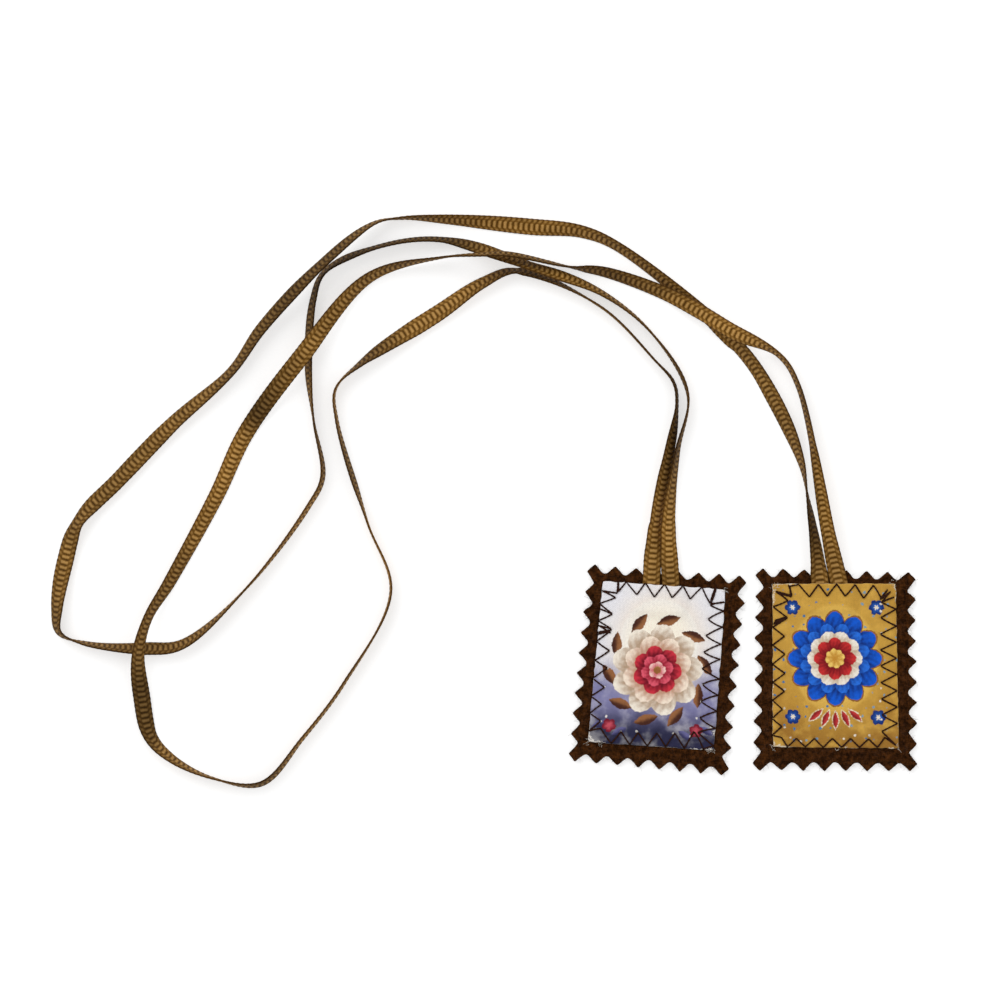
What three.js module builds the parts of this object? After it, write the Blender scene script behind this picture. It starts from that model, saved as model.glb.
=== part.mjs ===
// A small cloth scapular laid flat: two pinked felt panels, a picture patch on each, and two ribbons between them.
// Millimetres. The table is z = 0, +Z is up, +X is to the right and +Y is towards the top of the flat lay.
import * as THREE from 'three';

// Cloth sizes.
const FELT_THICKNESS = 1.6;
const PATCH_THICKNESS = 1.0;
const RIBBON_WIDTH = 4.5;
const RIBBON_THICKNESS = 1.0;
const SEAM_GAP = 0.3;

// Pinked edge of the felt. Each corner is one square-ended tooth, left where two rows of notches meet.
const TEETH_ACROSS = 8;
const TEETH_DOWN = 10;
const NOTCH_DEPTH = 2.3;
const NOTCH_ROUND = 0.5;
const NOTCH_SHOULDER = 2.05;
const CORNER_CUT = 2.0;

// How far a ribbon runs on under its patch, and how the patch slopes down beside it.
const TUCK = 5.5;
const TUCK_COVER = 6.4;
const TUCKED_HALF_WIDTH = 5.2;
const PATCH_SLOPE = 3.5;

// Fineness of the grids.
const PATCH_COLUMNS = 24;
const PATCH_ROWS = 26;
const RIBBON_STEP = 2.8;
const MEASURES_PER_ROW = 40;

// The flat lay was measured on a photograph: the real size of one of its pixels, and the pixel at the origin.
const PIXEL = 0.265;
const ORIGIN_PIXEL = { x: 742.9, y: 669.9 };

// Four-sided cuts: centre in pixels, sizes in millimetres, angles in degrees clockwise.
// slant is how far the sides lean out of square, flare how much wider the foot is, skew how much taller the right.
const LEFT_FELT = { x: 657.7, y: 669.1, width: 42.7, height: 53.0, turn: 4.8, slant: 0.75, flare: 0.5, skew: 0.85 };
const RIGHT_FELT = { x: 835.1, y: 670.4, width: 43.1, height: 53.3, turn: 0.9, slant: -0.8, flare: 1.3, skew: -0.85 };
const LEFT_PATCH = { x: 657.3, y: 665.4, width: 33.0, height: 42.7, turn: 4.0, slant: 0.7, flare: 0.8, skew: 0 };
const RIGHT_PATCH = { x: 834.5, y: 665.4, width: 33.0, height: 43.4, turn: 0.3, slant: -0.9, flare: 0.8, skew: 0.4 };

// Middle of the pair of ribbon ends where they go under each patch, in pixels.
const LEFT_TUCK = { x: 661, y: 583 };
const RIGHT_TUCK = { x: 829, y: 583 };

// A ribbon that lies on the felt is lifted this far off the table.
const ON_FELT = FELT_THICKNESS + SEAM_GAP;

// Ribbon routes: x and y in pixels, roll in degrees (0 flat, 90 on edge, 180 other face up), and lift, the
// height of the lower edge over the table in millimetres. A ribbon is lifted where it crosses over another.
const RIBBON_A_ROUTE = [
  { x: 819.6, y: 583, roll: 0, lift: ON_FELT },
  { x: 814.8, y: 546, roll: 48, lift: 1.7 },
  { x: 807.5, y: 500, roll: 79, lift: 0.5 },
  { x: 800.2, y: 460.4, roll: 109, lift: 0 },
  { x: 773.5, y: 399.3, roll: 139, lift: 0 },
  { x: 739.1, y: 347.8, roll: 131, lift: 0 },
  { x: 621.4, y: 249.5, roll: 116, lift: 0 },
  { x: 583, y: 232.4, roll: 128, lift: 0 },
  { x: 530, y: 227, roll: 151, lift: 0 },
  { x: 446, y: 219.8, roll: 116, lift: 0 },
  { x: 401, y: 218.7, roll: 93, lift: 0 },
  { x: 374.4, y: 224, roll: 77, lift: 1.5 },
  { x: 321.5, y: 266.6, roll: 58, lift: 5.0 },
  { x: 262.6, y: 328, roll: 51, lift: 1.0 },
  { x: 231.7, y: 371.6, roll: 60, lift: 0 },
  { x: 173.5, y: 423.6, roll: 36, lift: 0 },
  { x: 119.3, y: 479.4, roll: 28, lift: 0 },
  { x: 78.6, y: 522.5, roll: 49, lift: 0 },
  { x: 65.4, y: 561.9, roll: 20, lift: 0 },
  { x: 57.6, y: 608, roll: 48, lift: 0 },
  { x: 59.6, y: 632, roll: 70, lift: 0 },
  { x: 84.2, y: 642.8, roll: 99, lift: 0 },
  { x: 148, y: 648.4, roll: 131, lift: 0 },
  { x: 183, y: 644, roll: 120, lift: 0 },
  { x: 248.6, y: 586.1, roll: 90, lift: 0 },
  { x: 308.7, y: 506.8, roll: 79, lift: 0 },
  { x: 323, y: 477, roll: 79, lift: 0 },
  { x: 314, y: 421, roll: 91, lift: 0 },
  { x: 308.8, y: 368, roll: 113, lift: 0 },
  { x: 313.5, y: 300, roll: 111, lift: 0 },
  { x: 324.5, y: 272.5, roll: 106, lift: 0 },
  { x: 376.2, y: 247.8, roll: 104, lift: 0 },
  { x: 440, y: 240, roll: 108, lift: 0 },
  { x: 529, y: 266.3, roll: 119, lift: 2.0 },
  { x: 601.3, y: 293.4, roll: 109, lift: 0.8 },
  { x: 651.5, y: 333.5, roll: 93, lift: 0 },
  { x: 687.4, y: 394, roll: 88, lift: 0 },
  { x: 677, y: 452, roll: 106, lift: 0 },
  { x: 668.1, y: 521, roll: 139, lift: 1.3 },
  { x: 670.5, y: 583, roll: 180, lift: ON_FELT },
];

const RIBBON_B_ROUTE = [
  { x: 651, y: 583, roll: 0, lift: ON_FELT },
  { x: 655.2, y: 522, roll: 52, lift: 1.3 },
  { x: 676.6, y: 404, roll: 82, lift: 0 },
  { x: 673.2, y: 382.3, roll: 82, lift: 0 },
  { x: 654.5, y: 360.4, roll: 88, lift: 0 },
  { x: 601.3, y: 307.7, roll: 90, lift: 0 },
  { x: 516, y: 271.2, roll: 72, lift: 0 },
  { x: 483, y: 283, roll: 52, lift: 0 },
  { x: 439.6, y: 312.4, roll: 24, lift: 0 },
  { x: 361, y: 363.8, roll: 71, lift: 0 },
  { x: 336, y: 389, roll: 91, lift: 0 },
  { x: 337, y: 420, roll: 96, lift: 0 },
  { x: 367.5, y: 522, roll: 90, lift: 0 },
  { x: 391, y: 591.5, roll: 85, lift: 0 },
  { x: 344.5, y: 682.7, roll: 96, lift: 0 },
  { x: 303, y: 738, roll: 99, lift: 0 },
  { x: 261.8, y: 783.3, roll: 106, lift: 0 },
  { x: 213, y: 777.7, roll: 90, lift: 0 },
  { x: 172, y: 758, roll: 68, lift: 0 },
  { x: 151.2, y: 736.4, roll: 48, lift: 0 },
  { x: 142.4, y: 697, roll: 23, lift: 1.0 },
  { x: 140, y: 654, roll: 52, lift: 4.7 },
  { x: 148.4, y: 618.9, roll: 65, lift: 1.5 },
  { x: 170.4, y: 581.3, roll: 52, lift: 0 },
  { x: 216.9, y: 495.4, roll: 36, lift: 0 },
  { x: 246.6, y: 432, roll: 25, lift: 0 },
  { x: 301.7, y: 357.9, roll: 17, lift: 5.4 },
  { x: 369.7, y: 277.9, roll: 59, lift: 0.2 },
  { x: 440, y: 258.6, roll: 89, lift: 2.0 },
  { x: 480, y: 256.2, roll: 102, lift: 6.1 },
  { x: 507, y: 255.4, roll: 107, lift: 5.0 },
  { x: 570, y: 267.4, roll: 91, lift: 0 },
  { x: 605.8, y: 272.7, roll: 60, lift: 0 },
  { x: 663.5, y: 293.2, roll: 46, lift: 0.5 },
  { x: 698.8, y: 312.2, roll: 39, lift: 3.2 },
  { x: 732, y: 332.7, roll: 39, lift: 5.0 },
  { x: 778.6, y: 355.6, roll: 79, lift: 0.3 },
  { x: 798, y: 387, roll: 80, lift: 0 },
  { x: 828, y: 537, roll: 43, lift: 2.4 },
  { x: 838.6, y: 583, roll: 0, lift: ON_FELT },
];

const FELT_COLOUR = '#372116';
const RIBBON_COLOUR = '#826234';
const LEFT_PATCH_COLOUR = '#c9c2cf';
const RIGHT_PATCH_COLOUR = '#cda03c';

// A pixel of the flat lay as a point on the table.
function onTable(pixel) {
  const x = (pixel.x - ORIGIN_PIXEL.x) * PIXEL;
  const y = (ORIGIN_PIXEL.y - pixel.y) * PIXEL;
  return new THREE.Vector2(x, y);
}

// Directions along a cut's width and up its sides.
function cutAxes(cut) {
  const turn = THREE.MathUtils.degToRad(cut.turn);
  const lean = THREE.MathUtils.degToRad(cut.turn + cut.slant);
  const across = new THREE.Vector2(Math.cos(turn), -Math.sin(turn));
  const up = new THREE.Vector2(Math.sin(lean), Math.cos(lean));
  return { across, up };
}

// The point of a cut at u across and v up, both from -1 to 1.
function onCut(cut, u, v) {
  const { across, up } = cutAxes(cut);
  const halfWidth = (cut.width - (cut.flare * v) / 2) / 2;
  const halfHeight = (cut.height + (cut.skew * u) / 2) / 2;
  return onTable(cut).addScaledVector(across, halfWidth * u).addScaledVector(up, halfHeight * v);
}

// One pinked side, from one sharp corner to the next. Tips lie on the line and notches go in to the left of it.
function pinkedSide(start, end, teeth) {
  const along = end.clone().sub(start);
  const pitch = (along.length() - 2 * CORNER_CUT) / (teeth - 1);
  along.normalize();
  const inward = new THREE.Vector2(-along.y, along.x);
  const at = (distance, depth) => start.clone().addScaledVector(along, distance).addScaledVector(inward, depth);
  const points = [];
  for (let tooth = 0; tooth < teeth; tooth += 1) {
    const tip = CORNER_CUT + tooth * pitch;
    points.push(at(tip, 0));
    if (tooth < teeth - 1) {
      const notch = tip + pitch / 2;
      points.push(at(notch - NOTCH_ROUND, NOTCH_SHOULDER));
      points.push(at(notch, NOTCH_DEPTH));
      points.push(at(notch + NOTCH_ROUND, NOTCH_SHOULDER));
    }
  }
  return points;
}

// A felt panel: the pinked outline, counterclockwise from the lower left corner, as a flat wall on the table.
function feltGeometry(cut) {
  const lowerLeft = onCut(cut, -1, -1);
  const lowerRight = onCut(cut, 1, -1);
  const upperRight = onCut(cut, 1, 1);
  const upperLeft = onCut(cut, -1, 1);
  const outline = [
    ...pinkedSide(lowerLeft, lowerRight, TEETH_ACROSS),
    ...pinkedSide(lowerRight, upperRight, TEETH_DOWN),
    ...pinkedSide(upperRight, upperLeft, TEETH_ACROSS),
    ...pinkedSide(upperLeft, lowerLeft, TEETH_DOWN),
  ];
  return new THREE.ExtrudeGeometry(new THREE.Shape(outline), { depth: FELT_THICKNESS, bevelEnabled: false });
}

// How much a patch rises over the two ribbon ends tucked under its top edge.
function patchRise(cut, tuck, u, v) {
  const { across } = cutAxes(cut);
  const fromMiddle = Math.abs(onCut(cut, u, v).sub(onTable(tuck)).dot(across));
  const belowEdge = ((1 - v) * cut.height) / 2;
  const beside = 1 - THREE.MathUtils.smoothstep(fromMiddle, TUCKED_HALF_WIDTH, TUCKED_HALF_WIDTH + PATCH_SLOPE);
  const beyond = 1 - THREE.MathUtils.smoothstep(belowEdge, TUCK_COVER, TUCK_COVER + PATCH_SLOPE);
  return (RIBBON_THICKNESS + SEAM_GAP) * beside * beyond;
}

// A closed wall between two grids of points, the lower one given first. Both have rows of columns + 1 points.
function wallGeometry(lower, upper, columns, rows) {
  const positions = [...lower, ...upper].flatMap((point) => point.toArray());
  const count = lower.length;
  const index = [];
  const quad = (a, b, c, d) => index.push(a, b, c, a, c, d);
  const at = (column, row) => row * (columns + 1) + column;
  for (let row = 0; row < rows; row += 1) {
    for (let column = 0; column < columns; column += 1) {
      const corners = [at(column, row), at(column + 1, row), at(column + 1, row + 1), at(column, row + 1)];
      const [a, b, c, d] = corners;
      quad(a, d, c, b);
      quad(count + a, count + b, count + c, count + d);
    }
  }
  const rim = [];
  for (let column = 0; column < columns; column += 1) rim.push(at(column, 0));
  for (let row = 0; row < rows; row += 1) rim.push(at(columns, row));
  for (let column = columns; column > 0; column -= 1) rim.push(at(column, rows));
  for (let row = rows; row > 0; row -= 1) rim.push(at(0, row));
  rim.forEach((a, i) => {
    const b = rim[(i + 1) % rim.length];
    quad(a, b, count + b, count + a);
  });
  return closedGeometry(positions, index);
}

// A picture patch: a thin wall that lies on the felt and rises over the ribbon ends.
function patchGeometry(cut, tuck) {
  const lower = [];
  const upper = [];
  for (let row = 0; row <= PATCH_ROWS; row += 1) {
    for (let column = 0; column <= PATCH_COLUMNS; column += 1) {
      const u = (2 * column) / PATCH_COLUMNS - 1;
      const v = (2 * row) / PATCH_ROWS - 1;
      const place = onCut(cut, u, v);
      const height = ON_FELT + patchRise(cut, tuck, u, v);
      lower.push(new THREE.Vector3(place.x, place.y, height));
      upper.push(new THREE.Vector3(place.x, place.y, height + PATCH_THICKNESS));
    }
  }
  return wallGeometry(lower, upper, PATCH_COLUMNS, PATCH_ROWS);
}

// The route with its tucked ends: each runs on straight past the patch's edge, at the same roll and lift.
function withTucks(route) {
  const rows = route.map((row) => ({ place: onTable(row), roll: row.roll, lift: row.lift }));
  const beyond = (end, next) => {
    const away = end.place.clone().sub(next.place).normalize();
    return { ...end, place: end.place.clone().addScaledVector(away, TUCK) };
  };
  const first = beyond(rows[0], rows[1]);
  const last = beyond(rows[rows.length - 1], rows[rows.length - 2]);
  return [first, ...rows, last];
}

// The slope at a value, level at a peak or a dip, so that a blend never passes the values on either side.
function slopeAt(before, here, after) {
  const rise = here - before;
  const next = after - here;
  return rise * next > 0 ? (2 * rise * next) / (rise + next) : 0;
}

// A smooth value between the two middle ones of four rows: a cubic with the slopes above.
function blend(values, f) {
  const [before, from, to, after] = values;
  const slopeFrom = slopeAt(before, from, to);
  const slopeTo = slopeAt(from, to, after);
  const square = f * f;
  const cube = square * f;
  const middle = (2 * cube - 3 * square + 1) * from + (3 * square - 2 * cube) * to;
  return middle + (cube - 2 * square + f) * slopeFrom + (cube - square) * slopeTo;
}

// Roll and lift part of the way along the route, at a number of rows that need not be whole.
function twistAt(rows, position) {
  const span = Math.min(Math.floor(position), rows.length - 2);
  const pick = (key) => [-1, 0, 1, 2].map((k) => rows[THREE.MathUtils.clamp(span + k, 0, rows.length - 1)][key]);
  const roll = THREE.MathUtils.degToRad(blend(pick('roll'), position - span));
  const lift = blend(pick('lift'), position - span);
  return { roll, lift };
}

// The four corners of a ribbon's section: half widths towards its edge, half thicknesses towards its face.
const SECTION_CORNERS = [
  { edge: -1, face: -1 },
  { edge: 1, face: -1 },
  { edge: 1, face: 1 },
  { edge: -1, face: 1 },
];

// A ribbon: a flat section carried along its route, rolled about it, with its lower edge at the lift.
function ribbonGeometry(route) {
  const rows = withTucks(route);
  const points = rows.map((row) => new THREE.Vector3(row.place.x, row.place.y, 0));
  const path = new THREE.CatmullRomCurve3(points, false, 'centripetal');
  path.arcLengthDivisions = MEASURES_PER_ROW * rows.length;
  const steps = Math.round(path.getLength() / RIBBON_STEP);
  const positions = [];
  for (let step = 0; step <= steps; step += 1) {
    const t = path.getUtoTmapping(step / steps);
    const { roll, lift } = twistAt(rows, t * (rows.length - 1));
    const middle = path.getPoint(t);
    const along = path.getTangent(t);
    const side = new THREE.Vector3(-along.y, along.x, 0);
    const up = new THREE.Vector3(0, 0, 1);
    const toEdge = side.clone().multiplyScalar(Math.cos(roll)).addScaledVector(up, Math.sin(roll));
    const toFace = side.clone().multiplyScalar(-Math.sin(roll)).addScaledVector(up, Math.cos(roll));
    middle.z = lift + (RIBBON_WIDTH * Math.abs(toEdge.z) + RIBBON_THICKNESS * Math.abs(toFace.z)) / 2;
    for (const { edge, face } of SECTION_CORNERS) {
      const corner = middle.clone().addScaledVector(toEdge, (edge * RIBBON_WIDTH) / 2);
      positions.push(...corner.addScaledVector(toFace, (face * RIBBON_THICKNESS) / 2).toArray());
    }
  }
  const index = [0, 2, 1, 0, 3, 2];
  for (let step = 0; step < steps; step += 1) {
    for (let corner = 0; corner < 4; corner += 1) {
      const a = 4 * step + corner;
      const b = 4 * step + ((corner + 1) % 4);
      index.push(a, b, a + 4, b, b + 4, a + 4);
    }
  }
  const end = 4 * steps;
  index.push(end, end + 1, end + 2, end, end + 2, end + 3);
  return closedGeometry(positions, index);
}

function closedGeometry(positions, index) {
  const geometry = new THREE.BufferGeometry();
  geometry.setAttribute('position', new THREE.Float32BufferAttribute(positions, 3));
  geometry.setIndex(index);
  geometry.computeVertexNormals();
  return geometry;
}

function cloth(name, geometry, colour, roughness) {
  const material = new THREE.MeshStandardMaterial({ color: colour, roughness, metalness: 0 });
  const mesh = new THREE.Mesh(geometry, material);
  mesh.name = name;
  return mesh;
}

const scapular = new THREE.Group();
scapular.name = 'scapular';
scapular.add(cloth('felt_left', feltGeometry(LEFT_FELT), FELT_COLOUR, 0.95));
scapular.add(cloth('felt_right', feltGeometry(RIGHT_FELT), FELT_COLOUR, 0.95));
scapular.add(cloth('patch_left', patchGeometry(LEFT_PATCH, LEFT_TUCK), LEFT_PATCH_COLOUR, 0.7));
scapular.add(cloth('patch_right', patchGeometry(RIGHT_PATCH, RIGHT_TUCK), RIGHT_PATCH_COLOUR, 0.7));
scapular.add(cloth('ribbon_a', ribbonGeometry(RIBBON_A_ROUTE), RIBBON_COLOUR, 0.55));
scapular.add(cloth('ribbon_b', ribbonGeometry(RIBBON_B_ROUTE), RIBBON_COLOUR, 0.55));

export default scapular;
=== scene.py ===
"""A small cloth scapular laid flat: felt, printed patches, ribbon and sewing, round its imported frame."""
import logging
import math
from dataclasses import dataclass
from enum import Enum

import bpy
import numpy as np
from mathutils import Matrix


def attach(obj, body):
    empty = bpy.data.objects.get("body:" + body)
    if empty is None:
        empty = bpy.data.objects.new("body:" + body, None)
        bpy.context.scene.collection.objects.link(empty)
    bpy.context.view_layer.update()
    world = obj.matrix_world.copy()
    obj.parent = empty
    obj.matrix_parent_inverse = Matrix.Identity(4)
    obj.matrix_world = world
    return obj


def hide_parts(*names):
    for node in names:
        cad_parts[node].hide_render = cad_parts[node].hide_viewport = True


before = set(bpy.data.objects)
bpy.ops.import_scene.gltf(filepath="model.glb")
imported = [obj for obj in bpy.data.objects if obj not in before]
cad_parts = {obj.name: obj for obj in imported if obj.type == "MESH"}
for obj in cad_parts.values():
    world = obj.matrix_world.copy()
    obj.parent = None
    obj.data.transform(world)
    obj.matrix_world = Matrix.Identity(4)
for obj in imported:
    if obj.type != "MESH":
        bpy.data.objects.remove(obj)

LOG = logging.getLogger("scapular")
MM = 0.001
# The flat lay as it was measured: the real size of one photo pixel, and the pixel that lies at the origin.
PIXEL = 0.265 * MM
ORIGIN_PIXEL = np.array([742.9, 669.9])
VIEW_CENTRE_PIXEL = np.array([500.0, 500.0])
VIEW_PIXELS = 1000
BODY = "root"

Array = np.ndarray
Tone = tuple[float, float, float, float]
Pixel = tuple[float, float]
# A pixel with a value that holds there.
Mark = tuple[float, float, float]
# A worn spot: pixel, reach in millimetres and strength.
Scuff = tuple[float, float, float, float]


def on_table(pixels: Array) -> Array:
    """Photo pixels as points on the table: shifted to the origin pixel, scaled, and with y turned up.

    Args:
        pixels: Pixel positions, x and y in the last axis.

    Returns:
        The same positions in metres.
    """
    return (np.asarray(pixels, float) - ORIGIN_PIXEL) * np.array([PIXEL, -PIXEL])


def tone(red: int, green: int, blue: int) -> Tone:
    """A display colour of 0 to 255 a channel as the linear colour that a shader socket takes."""
    shares = np.array([red, green, blue]) / 255
    linear = np.where(shares <= 0.04045, shares / 12.92, ((shares + 0.055) / 1.055) ** 2.4)
    return (*(float(share) for share in linear), 1.0)


def smoothstep(low: float, high: float, value: Array) -> Array:
    """The cubic 3t^2 - 2t^3 of the value's share t of the way from low to high, held at 0 and 1 outside."""
    share = np.clip((value - low) / (high - low), 0, 1)
    return share * share * (3 - 2 * share)


def value_noise(points: Array, size: float, seed: int) -> Array:
    """Smooth noise from -1 to 1: random values on a square grid, blended by smoothstep between its corners.

    Args:
        points: Positions, x and y in the last axis.
        size: Side of the grid's squares, in metres.
        seed: Seed of the random values.

    Returns:
        One value for each position.
    """
    cells = 64
    table = np.random.default_rng(seed).uniform(-1, 1, (cells, cells))
    place = points / size
    corner = np.floor(place).astype(int)
    share = place - corner
    share = share * share * (3 - 2 * share)
    column, row = corner[..., 0] % cells, corner[..., 1] % cells
    next_column, next_row = (column + 1) % cells, (row + 1) % cells
    low = table[column, row] * (1 - share[..., 0]) + table[next_column, row] * share[..., 0]
    high = table[column, next_row] * (1 - share[..., 0]) + table[next_column, next_row] * share[..., 0]
    return low * (1 - share[..., 1]) + high * share[..., 1]


def grid_quads(rows: int, columns: int, closed: bool) -> Array:
    """Quads between neighbouring rows of a grid of points, stored row by row.

    Args:
        rows: Number of rows of points.
        columns: Number of points in a row.
        closed: Whether each row is a ring, with its last point next to its first.

    Returns:
        Vertex numbers, four to a quad.
    """
    spans = columns if closed else columns - 1
    row, column = np.meshgrid(np.arange(rows - 1), np.arange(spans), indexing="ij")
    following = (column + 1) % columns
    here, there = row * columns, (row + 1) * columns
    corners = [here + column, here + following, there + following, there + column]
    return np.stack(corners, axis=-1).reshape(-1, 4)


def ring_cap(first: int, count: int, flip: bool) -> Array:
    """A ladder of quads across one ring of an even number of points, to close a tube's end.

    Args:
        first: The ring's first vertex number.
        count: Number of points in the ring.
        flip: Whether the faces turn the other way.

    Returns:
        Vertex numbers, four to a quad.
    """
    step = np.arange(count // 2 - 1)
    corners = [first + step, first + step + 1, first + count - 2 - step, first + count - 1 - step]
    quads = np.stack(corners, axis=-1)
    return quads[:, ::-1] if flip else quads


def cloth_piece(
    name: str,
    points: Array,
    quads: Array,
    finish: bpy.types.Material,
    uv: Array | None = None,
    fields: dict[str, Array] | None = None,
) -> bpy.types.Object:
    """Makes a smooth mesh object at the origin, which rides on the one body.

    Args:
        name: The piece's name.
        points: Vertex positions in metres.
        quads: Vertex numbers, four to a quad.
        finish: The piece's material.
        uv: Cloth coordinates, one pair to a vertex.
        fields: Named numbers, one to a vertex, for the material to read.

    Returns:
        The new object.
    """
    mesh = bpy.data.meshes.new(name)
    mesh.vertices.add(len(points))
    mesh.vertices.foreach_set("co", np.ascontiguousarray(points, dtype=np.float32).ravel())
    mesh.loops.add(quads.size)
    mesh.loops.foreach_set("vertex_index", np.ascontiguousarray(quads, dtype=np.int32).ravel())
    mesh.polygons.add(len(quads))
    mesh.polygons.foreach_set("loop_start", np.arange(0, quads.size, 4, dtype=np.int32))
    mesh.polygons.foreach_set("use_smooth", np.ones(len(quads), dtype=bool))
    if uv is not None:
        layer = mesh.uv_layers.new(name="cloth")
        layer.data.foreach_set("uv", uv[quads.ravel()].astype(np.float32).ravel())
    for field_name, values in (fields or {}).items():
        attribute = mesh.attributes.new(field_name, "FLOAT", "POINT")
        attribute.data.foreach_set("value", values.astype(np.float32).ravel())
    mesh.materials.append(finish)
    mesh.update(calc_edges=True)
    piece = bpy.data.objects.new(name, mesh)
    bpy.context.scene.collection.objects.link(piece)
    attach(piece, BODY)
    LOG.info("%s: %d vertices, %d quads", name, len(points), len(quads))
    return piece


def tubes(lines: Array, radius: Array, sides: int, twist: float = 0.0) -> tuple[Array, Array]:
    """Closed tubes along many lines at once: each ring lies square to its line, and a twist raises two plies.

    Args:
        lines: Points of the lines, as lines by points by 3.
        radius: Tube radius at each point, as lines by points.
        sides: Even number of points round a ring.
        twist: Turns of the two plies along each line, or 0 for a plain round tube.

    Returns:
        The vertex positions and the quads of all the tubes.
    """
    count, length, _ = lines.shape
    along = np.gradient(lines, axis=1)
    along /= np.linalg.norm(along, axis=2, keepdims=True) + 1e-12
    upright = np.abs(along[..., 2:3]) > 0.9
    helper = np.where(upright, np.array([1.0, 0.0, 0.0]), np.array([0.0, 0.0, 1.0]))
    side = np.cross(along, helper)
    side /= np.linalg.norm(side, axis=2, keepdims=True)
    top = np.cross(side, along)
    angle = np.arange(sides) * 2 * math.pi / sides
    turn = np.linspace(0, 2 * math.pi * twist, length)[:, None]
    relief = 0.16 if twist else 0.0
    plies = 1 + relief * np.cos(2 * (angle[None, :] - turn))
    reach = radius[..., None] * plies[None]
    ring = side[:, :, None] * np.cos(angle)[:, None] + top[:, :, None] * np.sin(angle)[:, None]
    points = lines[:, :, None] + ring * reach[..., None]
    tube = grid_quads(length, sides, closed=True)
    ends = [ring_cap(0, sides, flip=True), ring_cap((length - 1) * sides, sides, flip=False)]
    one = np.vstack([tube, *ends])
    quads = (one[None] + (np.arange(count) * length * sides)[:, None, None]).reshape(-1, 4)
    return points.reshape(-1, 3), quads


def curled(root: Array, angle: Array, length: Array) -> Array:
    """Lines that start at their roots and run out in even steps along a heading that turns on the way.

    Args:
        root: First point of each line, as lines by 2.
        angle: Heading at each point, as lines by points.
        length: Length of each line.

    Returns:
        The points, as lines by points by 2.
    """
    step = np.stack([np.cos(angle), np.sin(angle)], axis=-1) * (length / (angle.shape[1] - 1))[:, None, None]
    gone = np.cumsum(step, axis=1)[:, :-1]
    return root[:, None] + np.concatenate([np.zeros((len(root), 1, 2)), gone], axis=1)


def gap_to(plan: Array, places: Array) -> Array:
    """Distance from each point of a grid to the nearest of some places."""
    return np.min(np.linalg.norm(plan[:, :, None] - places[None, None], axis=-1), axis=-1)


def resampled(line: Array, run: Array, even: Array) -> Array:
    """Points of a closed line at even distances, from its points and the distance run at each."""
    closed = np.vstack([line, line[:1]])
    return np.stack([np.interp(even, run, closed[:, axis]) for axis in (0, 1)], axis=1)


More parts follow.
